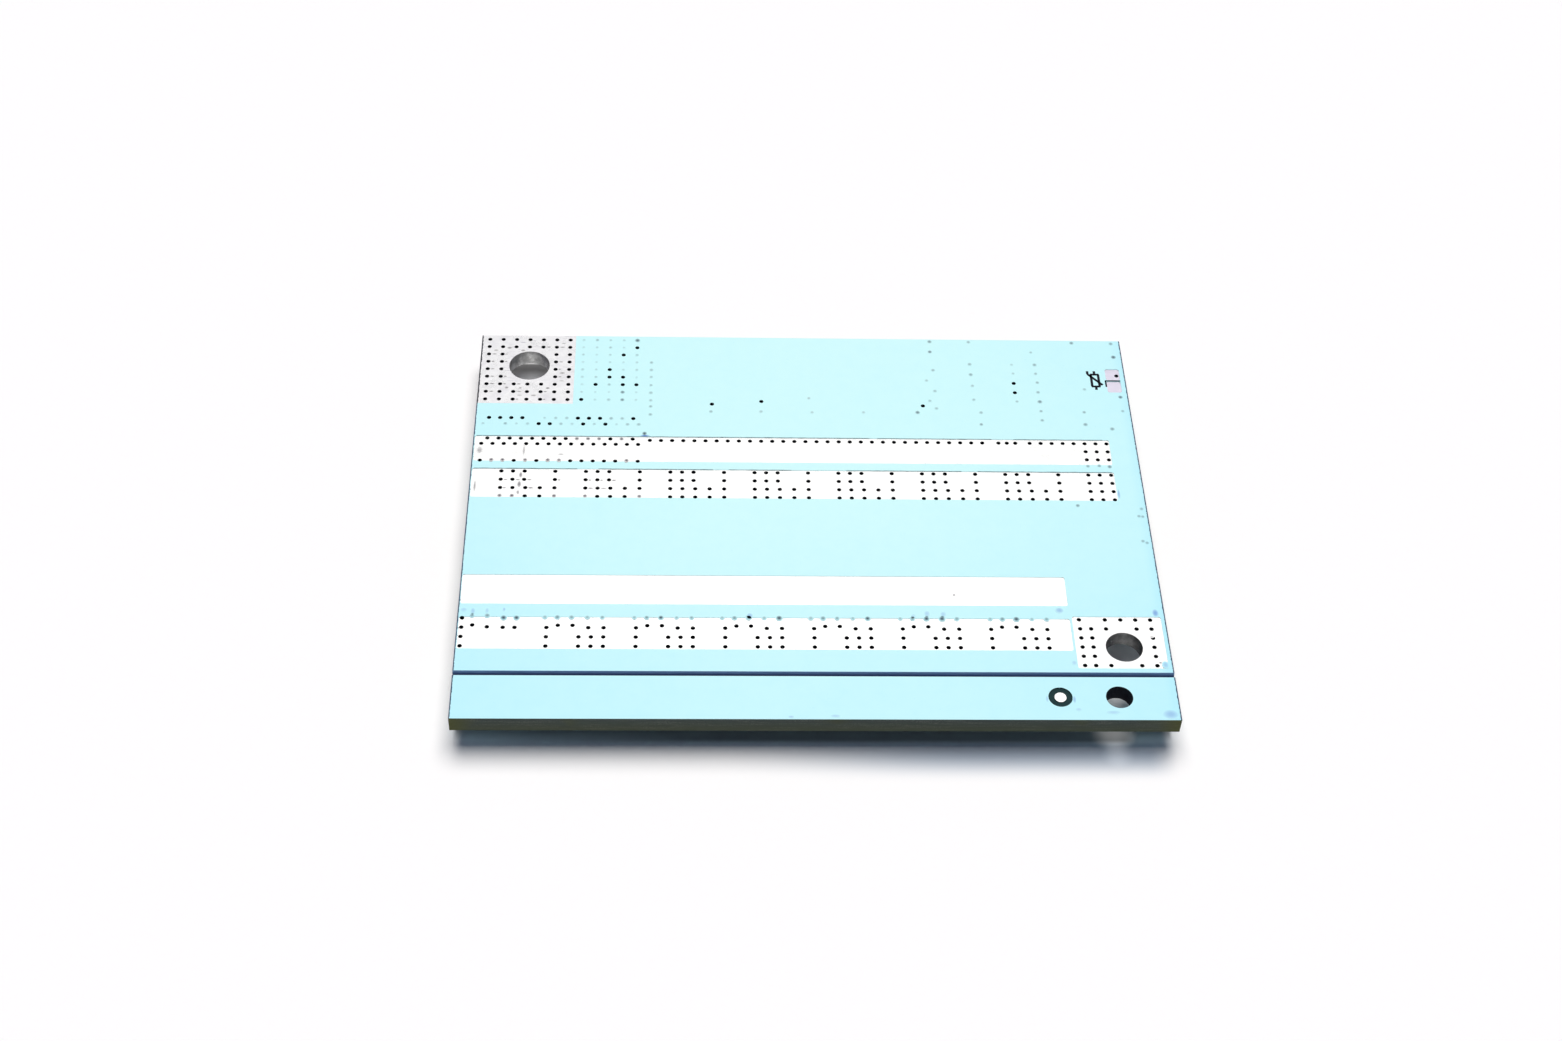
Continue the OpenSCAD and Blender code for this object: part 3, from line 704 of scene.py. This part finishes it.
def fill_closed_vias(bm, looks):
    dice = random.Random(looks.seed)
    layer = bm.verts.layers.float.new(SHADE)
    for x, y, shade in closed_via_places(dice):
        radius = looks.dimple_radius * (0.8 + 0.6 * shade) * dice.uniform(0.9, 1.1)
        add_spot(bm, layer, on_board(x, y), (radius, radius), shade)


def fill_stains(bm):
    layer = bm.verts.layers.float.new(SHADE)
    for x, y, half_w, half_l, shade in STAINS:
        add_spot(bm, layer, on_board(x, y), (half_w * MM, half_l * MM), shade, STAIN_SIDES)


# Runs of painted shade along the far wall of two strips' openings, where the mask's edge
# shades the tin, as (start, end)
EDGE_SHADE_RUNS = {
    "shunt_bus_strip": ((0.3, 36.3), (37.0, 47.6), (49.6, 57.9)),
    "discharge_source_strip": ((0.3, 9.6), (11.5, 21.9), (23.3, 29.0), (34.0, 44.5), (46.0, 58.3)),
}
EDGE_SHADE_W = 0.05 * MM
# Length of its cuts, its distance from the strip, and how far it wavers to either side
EDGE_SHADE_CUT = 0.4
EDGE_SHADE_GAP = 0.02
EDGE_SHADE_WAVER = 0.012 * MM


# Painted shade: thin dark lines where the mask's edge shades the tin of two strips
def fill_edge_shade(bm, seed):
    dice = random.Random(seed)
    layer = bm.verts.layers.float.new(SHADE)
    for strip, runs in EDGE_SHADE_RUNS.items():
        y = (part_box(strip)[1].y - FRONT) / MM + EDGE_SHADE_GAP
        for start, end in runs:
            cuts = max(int((end - start) / EDGE_SHADE_CUT), 2)
            add_bar(bm, on_board(start, y), on_board(end, y), EDGE_SHADE_W, cuts)
    # By place, so that the draws don't hang on the order in which the verts were made
    for v in sorted(bm.verts, key=lambda vert: tuple(vert.co)):
        v[layer] = dice.uniform(0.45, 0.95)
        v.co.y += dice.uniform(-EDGE_SHADE_WAVER, EDGE_SHADE_WAVER)


# ---- Marks on the tin, ink mark ---------------------------------------------

# x, y, half width, half length and darkness of rubbed marks on the tin, clear of its vias
TIN_MARKS = (
    (4.46, 26.45, 0.2, 0.45, 0.8), (4.55, 27.6, 0.18, 0.4, 0.75), (4.4, 25.45, 0.15, 0.3, 0.65),
    (4.68, 30.7, 0.12, 0.75, 0.45), (0.66, 30.65, 0.30, 0.5, 0.5), (0.5, 26.2, 0.13, 0.75, 0.6),
    (8.05, 30.2, 0.32, 0.12, 0.5), (2.66, 44.1, 0.3, 0.22, 0.7), (3.95, 43.75, 0.3, 0.2, 0.6),
    (1.4, 43.75, 0.3, 0.2, 0.5), (6.48, 38.72, 0.25, 0.18, 0.8), (2.66, 38.75, 0.26, 0.2, 0.7),
    (3.93, 38.72, 0.2, 0.12, 0.65), (7.75, 40.75, 0.36, 0.16, 0.7), (7.75, 39.7, 0.34, 0.12, 0.6),
    (7.75, 44.75, 0.3, 0.12, 0.55), (5.2, 37.75, 0.36, 0.14, 0.65), (3.9, 37.75, 0.36, 0.12, 0.5),
    (59.95, 6.15, 0.16, 0.12, 0.75), (59.55, 9.0, 0.2, 0.12, 0.5), (42.8, 13.62, 0.17, 0.1, 1.0))
# Drag marks to the right of some vias: the x of each via, and the y of its row
DRAG_MARKS = (
    ((2.78, 3.83, 4.88, 7.64, 10.4, 11.45, 12.5), 27.0), ((2.78, 5.03, 10.4, 11.5), 26.0),
    ((0.76, 2.03), 43.24), ((0.76, 2.03, 7.11), 42.24), ((0.76, 7.11), 41.24),
    ((0.76, 2.03, 7.11), 40.24), ((0.76, 2.03, 3.3), 39.24), ((0.76, 3.3, 5.84), 38.24),
    ((3.3, 5.84), 37.24), ((5.84, 7.11), 44.24))
# Vias that tin has run into: the x of each, the y of their row, and the radius of the tin
FILLED_VIAS = (((9.43, 10.45, 11.47, 13.51), 32.19), ((1.78, 2.8, 4.84, 6.88, 7.9, 14.02), 29.48),
               ((2.78, 3.88, 7.64, 10.4, 15.26), 25.06))
FILLED_R = 0.24 * MM
# Distance from a via's centre to where its drag mark starts, and half the mark's width
DRAG_START = 0.21
DRAG_HALF_L = 0.1


def fill_tin_marks(bm, seed):
    dice = random.Random(seed)
    layer = bm.verts.layers.float.new(SHADE)
    tin_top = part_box("discharge_source_strip")[1].z
    for x, y, half_w, half_l, shade in TIN_MARKS:
        add_spot(bm, layer, on_board(x, y, tin_top), (half_w * MM, half_l * MM), shade, MARK_SIDES)
    for places, y in DRAG_MARKS:
        for x in places:
            half_w = dice.uniform(0.16, 0.34)
            add_spot(bm, layer, on_board(x + DRAG_START + half_w, y, tin_top),
                     (half_w * MM, DRAG_HALF_L * MM), dice.uniform(0.7, 1.0))
    for places, y in FILLED_VIAS:
        for x in places:
            add_spot(bm, layer, on_board(x, y, tin_top), (FILLED_R, FILLED_R),
                     dice.uniform(0.85, 1.0))


INK_W = 0.24 * MM
BRACKET_W = 0.15 * MM
# Bars of the thermistor mark, as start and end points
SENSOR_BRACKET = (((59.02, 40.32), (60.5, 40.32)), ((59.08, 40.32), (59.08, 39.5)))
SENSOR_SYMBOL = (
    ((57.75, 39.55), (57.75, 41.15)), ((58.45, 39.55), (58.45, 41.15)),
    ((57.68, 39.55), (58.52, 39.55)), ((57.68, 41.15), (58.52, 41.15)),
    ((58.1, 39.1), (58.1, 39.55)), ((58.1, 41.15), (58.1, 41.6)),
    ((57.45, 41.2), (58.75, 39.75)), ((57.45, 41.2), (57.45, 41.6)))


def fill_ink(bm):
    for bars, width in ((SENSOR_BRACKET, BRACKET_W), (SENSOR_SYMBOL, INK_W)):
        for start, end in bars:
            add_bar(bm, on_board(*start), on_board(*end), width)


# ---- Components and their solder --------------------------------------------

# Reach of a power transistor's tab and leads past its body, and half sizes, place and foot of both
TAB_REACH = 1.0 * MM
LEAD_REACH = 2.9 * MM
LEAD_HALF = 0.38 * MM
LEAD_SIDE = 2.285 * MM
LEAD_FOOT = 1.5 * MM
TAB_HALF = 2.65 * MM
# Feet of the small transistors and of the gull-wing IC
SMALL_LEAD_SIDE = 0.95 * MM
SMALL_LEAD_HALF = 0.2 * MM
SMALL_LEAD_FOOT = 0.3 * MM
IC_LEADS = 7
IC_PITCH = 1.27 * MM
IC_LEAD_HALF = 0.21 * MM
IC_LEAD_FOOT = 0.55 * MM
# Spread and height of the solder round each kind of foot
LEAD_SOLDER = (0.35 * MM, 0.42 * MM)
TAB_SOLDER = (0.32 * MM, 0.36 * MM)
CHIP_SOLDER = (0.26 * MM, 0.28 * MM)
SMALL_SOLDER = (0.18 * MM, 0.12 * MM)
IC_SOLDER = (0.2 * MM, 0.16 * MM)

GLAZE = (0.022, 0.022, 0.026)
CERAMIC = (0.36, 0.22, 0.12)

# Moulded parts: their nodes, the axis that their leads point along, and the reach of the leads
# past the body at the axis's low end and at its high end
MOULDED = {
    "discharge_package": (DISCHARGE_MOSFETS, 1, TAB_REACH, LEAD_REACH),
    "charge_package": (CHARGE_MOSFETS, 1, LEAD_REACH, TAB_REACH),
    "balance_package": (BALANCE_TRANSISTORS, 1, 0.55 * MM, 0.55 * MM),
    "driver_transistor_package": (["driver_transistor"], 0, 0.55 * MM, 0.55 * MM),
    "protection_ic_package": (["protection_ic"], 0, 1.05 * MM, 1.05 * MM),
    "surge_diode_package": (["surge_diode"], 0, 0.4 * MM, 0.4 * MM),
}
# Chips: their nodes, the axis from end to end, the length of each tinned end, and the colour
CHIPS = (
    (SHUNTS, 1, 0.9 * MM, GLAZE), (BALANCE_RESISTORS, 0, 0.5 * MM, GLAZE),
    (FILTER_RESISTORS, 1, 0.3 * MM, GLAZE), (FILTER_CAPACITORS, 1, 0.35 * MM, CERAMIC),
    (["supply_capacitor"], 1, 0.5 * MM, CERAMIC))
DIODE_FEET = ("surge_diode", 0, 1.0 * MM)
# A face this close to where a body ends still belongs to the body
HAIR = 0.004 * MM

# How far a mound's bed reaches into the board, and as far below it
MOUND_BED = 0.02 * MM
# Steps from a mound's rim to its foot, as shares of its spread and of its height
MOUND_STEPS = ((0.10, 0.08), (0.45, 0.17), (0.28, 0.30), (0.17, 0.45))


def add_mound(bm, low, high, spread, height):
    """A concave solder mound under the board, round a foot whose outline is low to high."""
    half_w = (high.x - low.x) / 2 + spread
    half_l = (high.y - low.y) / 2 + spread
    middle = Vector(((high.x + low.x) / 2, (high.y + low.y) / 2, UNDER))
    place = Matrix.Translation(middle) @ Matrix.Diagonal((2 * half_w, 2 * half_l, 2 * MOUND_BED, 1))
    verts = bmesh.ops.create_cube(bm, size=1.0)["verts"]
    corners = [edge for edge in at_verts(verts, "link_edges")
               if abs(edge.verts[0].co.z - edge.verts[1].co.z) > 0.5]
    bmesh.ops.transform(bm, matrix=place, verts=verts)
    rounded = bmesh.ops.bevel(bm, geom=corners, offset=min(spread, half_w * 0.8, half_l * 0.8),
                              segments=3, profile=0.5, affect="EDGES", material=-1)["faces"]
    bm.normal_update()
    under = facing([v for face in rounded for v in face.verts], Vector((0, 0, -1)))
    for share, drop in MOUND_STEPS:
        bmesh.ops.inset_region(bm, faces=[under], thickness=spread * share, use_even_offset=True)
        bmesh.ops.translate(bm, vec=(0, 0, -height * drop), verts=list(under.verts))


def foot(end, inner, low_side, high_side, along=1):
    """Outline of a foot from its end to its inner edge on axis along, and between two sides."""
    low, high = Vector((0, 0, UNDER)), Vector((0, 0, UNDER))
    low[along], high[along] = sorted((end, inner))
    low[1 - along], high[1 - along] = low_side, high_side
    return low, high


def mosfet_feet(node, way):
    """Outlines of a power transistor's two lead tips, which point way along Y, and of its tab."""
    low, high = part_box(node)
    tips, tab = (high.y, low.y) if way > 0 else (low.y, high.y)
    middle = (low.x + high.x) / 2
    for x in (middle - LEAD_SIDE, middle + LEAD_SIDE):
        yield foot(tips, tips - way * LEAD_FOOT, x - LEAD_HALF, x + LEAD_HALF)
    yield foot(tab, tab + way * TAB_REACH, middle - TAB_HALF, middle + TAB_HALF)


def small_feet(node, along, pair_at_high):
    """Outlines of a small transistor's pair of feet at one end of an axis, and of its single one."""
    low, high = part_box(node)
    middle = (low[1 - along] + high[1 - along]) / 2
    pair, single = (high, low) if pair_at_high else (low, high)
    for end, side in ((pair, -SMALL_LEAD_SIDE), (pair, SMALL_LEAD_SIDE), (single, 0)):
        inner = end[along] + (SMALL_LEAD_FOOT if end is low else -SMALL_LEAD_FOOT)
        yield foot(end[along], inner, middle + side - SMALL_LEAD_HALF,
                   middle + side + SMALL_LEAD_HALF, along)


def ic_feet():
    """Outlines of the IC's feet, a row on either side."""
    low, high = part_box("protection_ic")
    middle = (low.y + high.y) / 2
    for k in range(IC_LEADS):
        y = middle + (k - (IC_LEADS - 1) / 2) * IC_PITCH
        for end, inner in ((low.x, low.x + IC_LEAD_FOOT), (high.x, high.x - IC_LEAD_FOOT)):
            yield foot(end, inner, y - IC_LEAD_HALF, y + IC_LEAD_HALF, along=0)


def chip_ends(node, axis, reach):
    """Outlines of a chip's two tinned ends."""
    low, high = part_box(node)
    inner_low, inner_high = low.copy(), high.copy()
    inner_low[axis] = high[axis] - reach
    inner_high[axis] = low[axis] + reach
    return (low, inner_high), (inner_low, high)


def solder_feet(bm, feet, solder):
    for low, high in feet:
        add_mound(bm, low, high, *solder)


def fill_mosfet_solder(bm):
    for row, way in ((DISCHARGE_MOSFETS, 1), (CHARGE_MOSFETS, -1)):
        for node in row:
            *leads, tab = mosfet_feet(node, way)
            solder_feet(bm, leads, LEAD_SOLDER)
            solder_feet(bm, [tab], TAB_SOLDER)


def fill_small_solder(bm):
    for nodes, axis, reach, _ in CHIPS:
        for node in nodes:
            solder_feet(bm, chip_ends(node, axis, reach), CHIP_SOLDER)
    solder_feet(bm, chip_ends(*DIODE_FEET), CHIP_SOLDER)
    for node in BALANCE_TRANSISTORS:
        solder_feet(bm, small_feet(node, 1, True), SMALL_SOLDER)
    solder_feet(bm, small_feet("driver_transistor", 0, False), SMALL_SOLDER)
    solder_feet(bm, ic_feet(), IC_SOLDER)


# ---- Stage ------------------------------------------------------------------

FLOOR_HALF = 1.5
FOCAL_LENGTH = 55.16
SENSOR = 36.0
SHIFT = (-0.0115, 0.0006)
CAMERA_AT = (-0.0108, -0.1437, 0.1619)
CAMERA_HEADING = math.radians(3.93)
CAMERA_TILT = math.radians(47.8)
CAMERA_ROLL = math.radians(3.27)
CLIP_START = 0.01

WHITE = (1, 1, 1, 1)
PAPER = (0.97, 0.97, 0.97, 1)
PAPER_FIBRE = (0.985, 0.985, 0.985, 1)
# Painted shadow: a bluish shade on the paper just in front of the board
PAINTED_FRONT_SHADOW = (0.5, 0.57, 0.66, 1)
# Grey of the floor for the light that it throws back, and its glow in a view from below it
BOUNCE_GREY = (0.5, 0.5, 0.5, 1)
GLOW = 0.8
# Painted light, a glow on the floor where light falls through a hole: the hole, how far behind
# its centre (in front if less than nothing) and how far it spreads in millimetres, and its strength
PAINTED_HOLE_LIGHTS = ((BATTERY_BORE, 1.3, 2.3, 0.24), (TOOLING_HOLE, 2.6, 1.8, 0.15),
         (TOOLING_HOLE, -3.2, 1.6, 0.12))
HOLE_LIGHT_HEART = 0.2 * MM


def seen_white(tree):
    """1 for rays that see the surroundings as a plain white sheet, and 0 for those that light."""
    path = add_node(tree, "LightPath").outputs
    return largest(tree, path["Is Camera Ray"], path["Is Glossy Ray"], path["Is Transmission Ray"])


def set_sky(studio):
    world = bpy.data.worlds.new("soft_sky")
    bpy.context.scene.world = world
    world.use_nodes = True
    tree = world.node_tree
    tree.nodes.clear()
    seen = seen_white(tree)
    sky = add_node(tree, "Background", {
        "Color": mix_colour(tree, seen, rgba(studio.sky_colour), WHITE),
        "Strength": mix_value(tree, seen, studio.sky_strength, 1.0)})
    add_node(tree, "OutputWorld", {0: sky.outputs[0]})


def painted_shade_below(tree, x, y):
    """Painted shade on the floor under the board: darker near the long edges, but not at the front's
    ends.
    """
    from_front = ramp(tree, y, FRONT + 2.2 * MM, FRONT + 3.8 * MM, 0.32, 0.75)
    to_rear = ramp(tree, y, REAR - 2.3 * MM, REAR - 0.5 * MM, 1, 0.2)
    at_front = ramp(tree, y, FRONT + 0.5 * MM, FRONT + 2 * MM, 1, 0)
    at_left = ramp(tree, x, LEFT + MM, LEFT + 24 * MM, 0.6, 0)
    at_right = ramp(tree, x, RIGHT - 4.4 * MM, RIGHT - 2.8 * MM, 0, 0.65)
    near_ends = product(tree, total(tree, at_left, at_right), at_front)
    return grey(tree, total(tree, product(tree, from_front, to_rear), near_ends))


def floor_colour(tree, point):
    """White paper, with a bluish painted shadow just in front of the board and painted shade under
    it.
    """
    x, y, _ = axes(tree, point)
    paper = mix_colour(tree, noise(tree, point, 0.6 * MM, 3), PAPER, PAPER_FIBRE)
    # Painted shadow just in front of the board's front edge
    front_shadow_y = smallest(tree, ramp(tree, y, FRONT - 3.8 * MM, FRONT - 0.6 * MM),
                       ramp(tree, y, FRONT - 0.6 * MM, FRONT + 1.2 * MM, 1, 0))
    front_shadow_x = product(tree, ramp(tree, x, -9 * MM, 14 * MM),
                      ramp(tree, x, RIGHT - 2.5 * MM, RIGHT + 0.3 * MM, 1, 0))
    paper = mix_colour(tree, product(tree, front_shadow_y, front_shadow_x), paper, PAINTED_FRONT_SHADOW)
    # Painted shade under the board's footprint
    under = product(tree, ramp(tree, absolute(tree, x), RIGHT - 0.4 * MM, RIGHT, 1, 0),
                    ramp(tree, y, FRONT + 0.3 * MM, FRONT + 0.9 * MM),
                    ramp(tree, y, REAR, REAR + 0.4 * MM, 1, 0))
    return mix_colour(tree, under, paper, painted_shade_below(tree, x, y))


def painted_hole_light(tree, point):
    """Strength of the painted light, a glow on the floor under the large holes."""
    spots = []
    for (centre, _), behind, reach, light in PAINTED_HOLE_LIGHTS:
        far = distance_from(tree, point, centre + Vector((0, behind * MM, 0)))
        spots.append(ramp(tree, far, HOLE_LIGHT_HEART, reach * MM, light, 0))
    return total(tree, *spots)


def floor_material():
    """Paper with painted shade and light round the board; from below it lets the board be seen."""
    material, tree, point = new_material("white_paper")
    path = add_node(tree, "LightPath").outputs
    paper = mix_colour(tree, path["Is Diffuse Ray"], floor_colour(tree, point), BOUNCE_GREY)
    matt = add_node(tree, "BsdfDiffuse", {"Color": paper}).outputs[0]
    # Painted light: the paper glows under the large holes
    painted_light = add_node(tree, "Emission", {"Strength": painted_hole_light(tree, point)})
    top = add_node(tree, "AddShader", {0: matt, 1: painted_light.outputs[0]}).outputs[0]
    glow = add_node(tree, "Emission", {"Strength": GLOW}).outputs[0]
    seen_below = above(tree, path["Transparent Depth"], 0.5)
    lit = add_node(tree, "MixShader", {0: seen_below, 1: top, 2: glow}).outputs[0]
    clear = add_node(tree, "BsdfTransparent").outputs[0]
    back = add_node(tree, "NewGeometry").outputs["Backfacing"]
    sheet = add_node(tree, "MixShader", {0: back, 1: lit, 2: clear}).outputs[0]
    add_node(tree, "OutputMaterial", {0: sheet})
    return material


def fill_floor(bm):
    bmesh.ops.create_grid(bm, x_segments=1, y_segments=1, size=FLOOR_HALF)


def hang_lamp(name, studio, share):
    lamp = bpy.data.lights.new(name, "SUN")
    lamp.angle = studio.lamp_spread
    lamp.energy = studio.lamp_strength * share
    lamp.color = studio.lamp_colour
    holder = bpy.data.objects.new(name, lamp)
    level = math.cos(studio.lamp_elevation)
    towards = Vector((level * math.sin(studio.lamp_turn), level * math.cos(studio.lamp_turn),
                      math.sin(studio.lamp_elevation)))
    holder.rotation_euler = towards.to_track_quat("Z", "Y").to_euler()
    bpy.context.scene.collection.objects.link(holder)
    return holder


def set_camera():
    camera = bpy.data.cameras.new("camera")
    camera.lens = FOCAL_LENGTH
    camera.sensor_width = SENSOR
    camera.shift_x, camera.shift_y = SHIFT
    camera.clip_start = CLIP_START
    holder = bpy.data.objects.new("camera", camera)
    turn = (Matrix.Rotation(-CAMERA_HEADING, 4, "Z")
            @ Matrix.Rotation(math.pi / 2 - CAMERA_TILT, 4, "X")
            @ Matrix.Rotation(CAMERA_ROLL, 4, "Z"))
    holder.matrix_world = Matrix.Translation(CAMERA_AT) @ turn
    bpy.context.scene.collection.objects.link(holder)
    bpy.context.scene.camera = holder


# ---- Operators --------------------------------------------------------------

class BOARD_OT_coat_board(Operator):
    """Give the printed board its solder mask and cut laminate"""
    bl_idname = "board.coat_board"
    bl_label = "Coat Board"

    def execute(self, context):
        assign(board_material(context.scene.board_finish), ["printed_board"])
        return {"FINISHED"}


class BOARD_OT_tin_copper(Operator):
    """Give the strips, pads and terminals their levelled tin, and rub it in places"""
    bl_idname = "board.tin_copper"
    bl_label = "Tin Copper"

    def execute(self, context):
        looks = context.scene.board_finish
        # The wall greys paint shade on the tin's upright faces
        assign(tin_material("strip_tin", looks, 0.1, 0.01, (1.06, 1.06, 1.06), wall=0.06),
               [*STRIPS, "fiducial_dot", *CELL_PADS])
        assign(tin_material("pack_tin", looks, 0.4, 0.02, (1, 1, 1), wall=0.06,
                            bore=PACK_BORE, painted_bore_grey=0.3), ["pack_terminal_pad"])
        assign(tin_material("battery_tin", looks, 1.0, 0.03, (0.91, 0.905, 0.93), wall=0.08,
                            bore=BATTERY_BORE, painted_bore_grey=0.75), ["battery_terminal_pad"])
        assign(tin_material("sensor_tin", looks, 0.3, 0.02, (0.79, 0.75, 0.88), wall=0.06),
               SENSOR_PADS)
        add_piece("tin_marks", "tinned_copper", rubbed_tin_material(looks), fill_tin_marks,
                  looks.seed)
        return {"FINISHED"}


class BOARD_OT_finish_packages(Operator):
    """Give each component its moulded or ceramic body and its tinned leads"""
    bl_idname = "board.finish_packages"
    bl_label = "Finish Packages"

    def execute(self, context):
        looks = context.scene.board_finish
        for name, (nodes, axis, low_reach, high_reach) in MOULDED.items():
            low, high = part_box(nodes[0])
            assign(package_material(name, looks, axis, low[axis] + low_reach - HAIR,
                                    high[axis] - high_reach + HAIR), nodes)
        for nodes, axis, reach, colour in CHIPS:
            for node in nodes:
                low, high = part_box(node)
                assign(package_material(node + "_finish", looks, axis, low[axis] + reach,
                                        high[axis] - reach, colour), [node])
        return {"FINISHED"}


class BOARD_OT_close_vias(Operator):
    """Add the vias that the solder mask closes, the stains round them, and painted shade along two
    strips
    """
    bl_idname = "board.close_vias"
    bl_label = "Close Vias"

    def execute(self, context):
        looks = context.scene.board_finish
        dark = stain_material("closed_via_mask", looks, looks.via_colour)
        blue = stain_material("stained_mask", looks, looks.stain_colour)
        add_piece("closed_vias", "solder_mask", dark, fill_closed_vias, looks)
        add_piece("flux_stains", "solder_mask", blue, fill_stains)
        # Painted shade along the mask's edge over two strips
        add_piece("flux_lines", "solder_mask", dark, fill_edge_shade, looks.seed)
        return {"FINISHED"}


class BOARD_OT_mark_sensor(Operator):
    """Print the thermistor's mark beside its pads"""
    bl_idname = "board.mark_sensor"
    bl_label = "Mark Sensor"

    def execute(self, context):
        add_piece("sensor_mark", "moulded_epoxy", ink_material(), fill_ink)
        return {"FINISHED"}


class BOARD_OT_solder_parts(Operator):
    """Solder the components under the board"""
    bl_idname = "board.solder_parts"
    bl_label = "Solder Parts"

    def execute(self, context):
        solder = tin_material("solder", context.scene.board_finish, 0.3, 0.01)
        add_piece("transistor_solder", "tinned_copper", solder, fill_mosfet_solder)
        add_piece("small_part_solder", "tinned_copper", solder, fill_small_solder)
        return {"FINISHED"}


class BOARD_OT_set_stage(Operator):
    """Set the floor, the sky, the lamps and the camera"""
    bl_idname = "board.set_stage"
    bl_label = "Set Stage"

    def execute(self, context):
        studio = context.scene.board_studio
        set_sky(studio)
        make_object("floor", floor_material(), fill_floor)
        hang_lamp("sheen_lamp", studio, studio.sheen_share)
        # The rest of the light stays out of reflections, which show the white surroundings
        hang_lamp("rear_lamp", studio, 1 - studio.sheen_share).visible_glossy = False
        set_camera()
        context.scene.view_settings.view_transform = "Standard"
        return {"FINISHED"}


OPERATORS = (BOARD_OT_coat_board, BOARD_OT_tin_copper, BOARD_OT_finish_packages,
             BOARD_OT_close_vias, BOARD_OT_mark_sensor, BOARD_OT_solder_parts, BOARD_OT_set_stage)


class BOARD_PT_panel(Panel):
    bl_label = "Protection Board"
    bl_idname = "BOARD_PT_panel"
    bl_space_type = "VIEW_3D"
    bl_region_type = "UI"
    bl_category = "Board"

    def draw(self, context):
        for operator in OPERATORS:
            self.layout.operator(operator.bl_idname)
        for group in (context.scene.board_finish, context.scene.board_studio):
            for name in group.__annotations__:
                self.layout.prop(group, name)


CLASSES = (BoardFinish, StudioSetup, *OPERATORS, BOARD_PT_panel)


def register():
    for cls in CLASSES:
        bpy.utils.register_class(cls)
    bpy.types.Scene.board_finish = PointerProperty(type=BoardFinish)
    bpy.types.Scene.board_studio = PointerProperty(type=StudioSetup)


def unregister():
    del bpy.types.Scene.board_studio
    del bpy.types.Scene.board_finish
    for cls in reversed(CLASSES):
        bpy.utils.unregister_class(cls)


def main():
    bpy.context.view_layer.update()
    register()
    for operator in OPERATORS:
        group, name = operator.bl_idname.split(".")
        getattr(getattr(bpy.ops, group), name)()


if __name__ == "__main__":
    main()
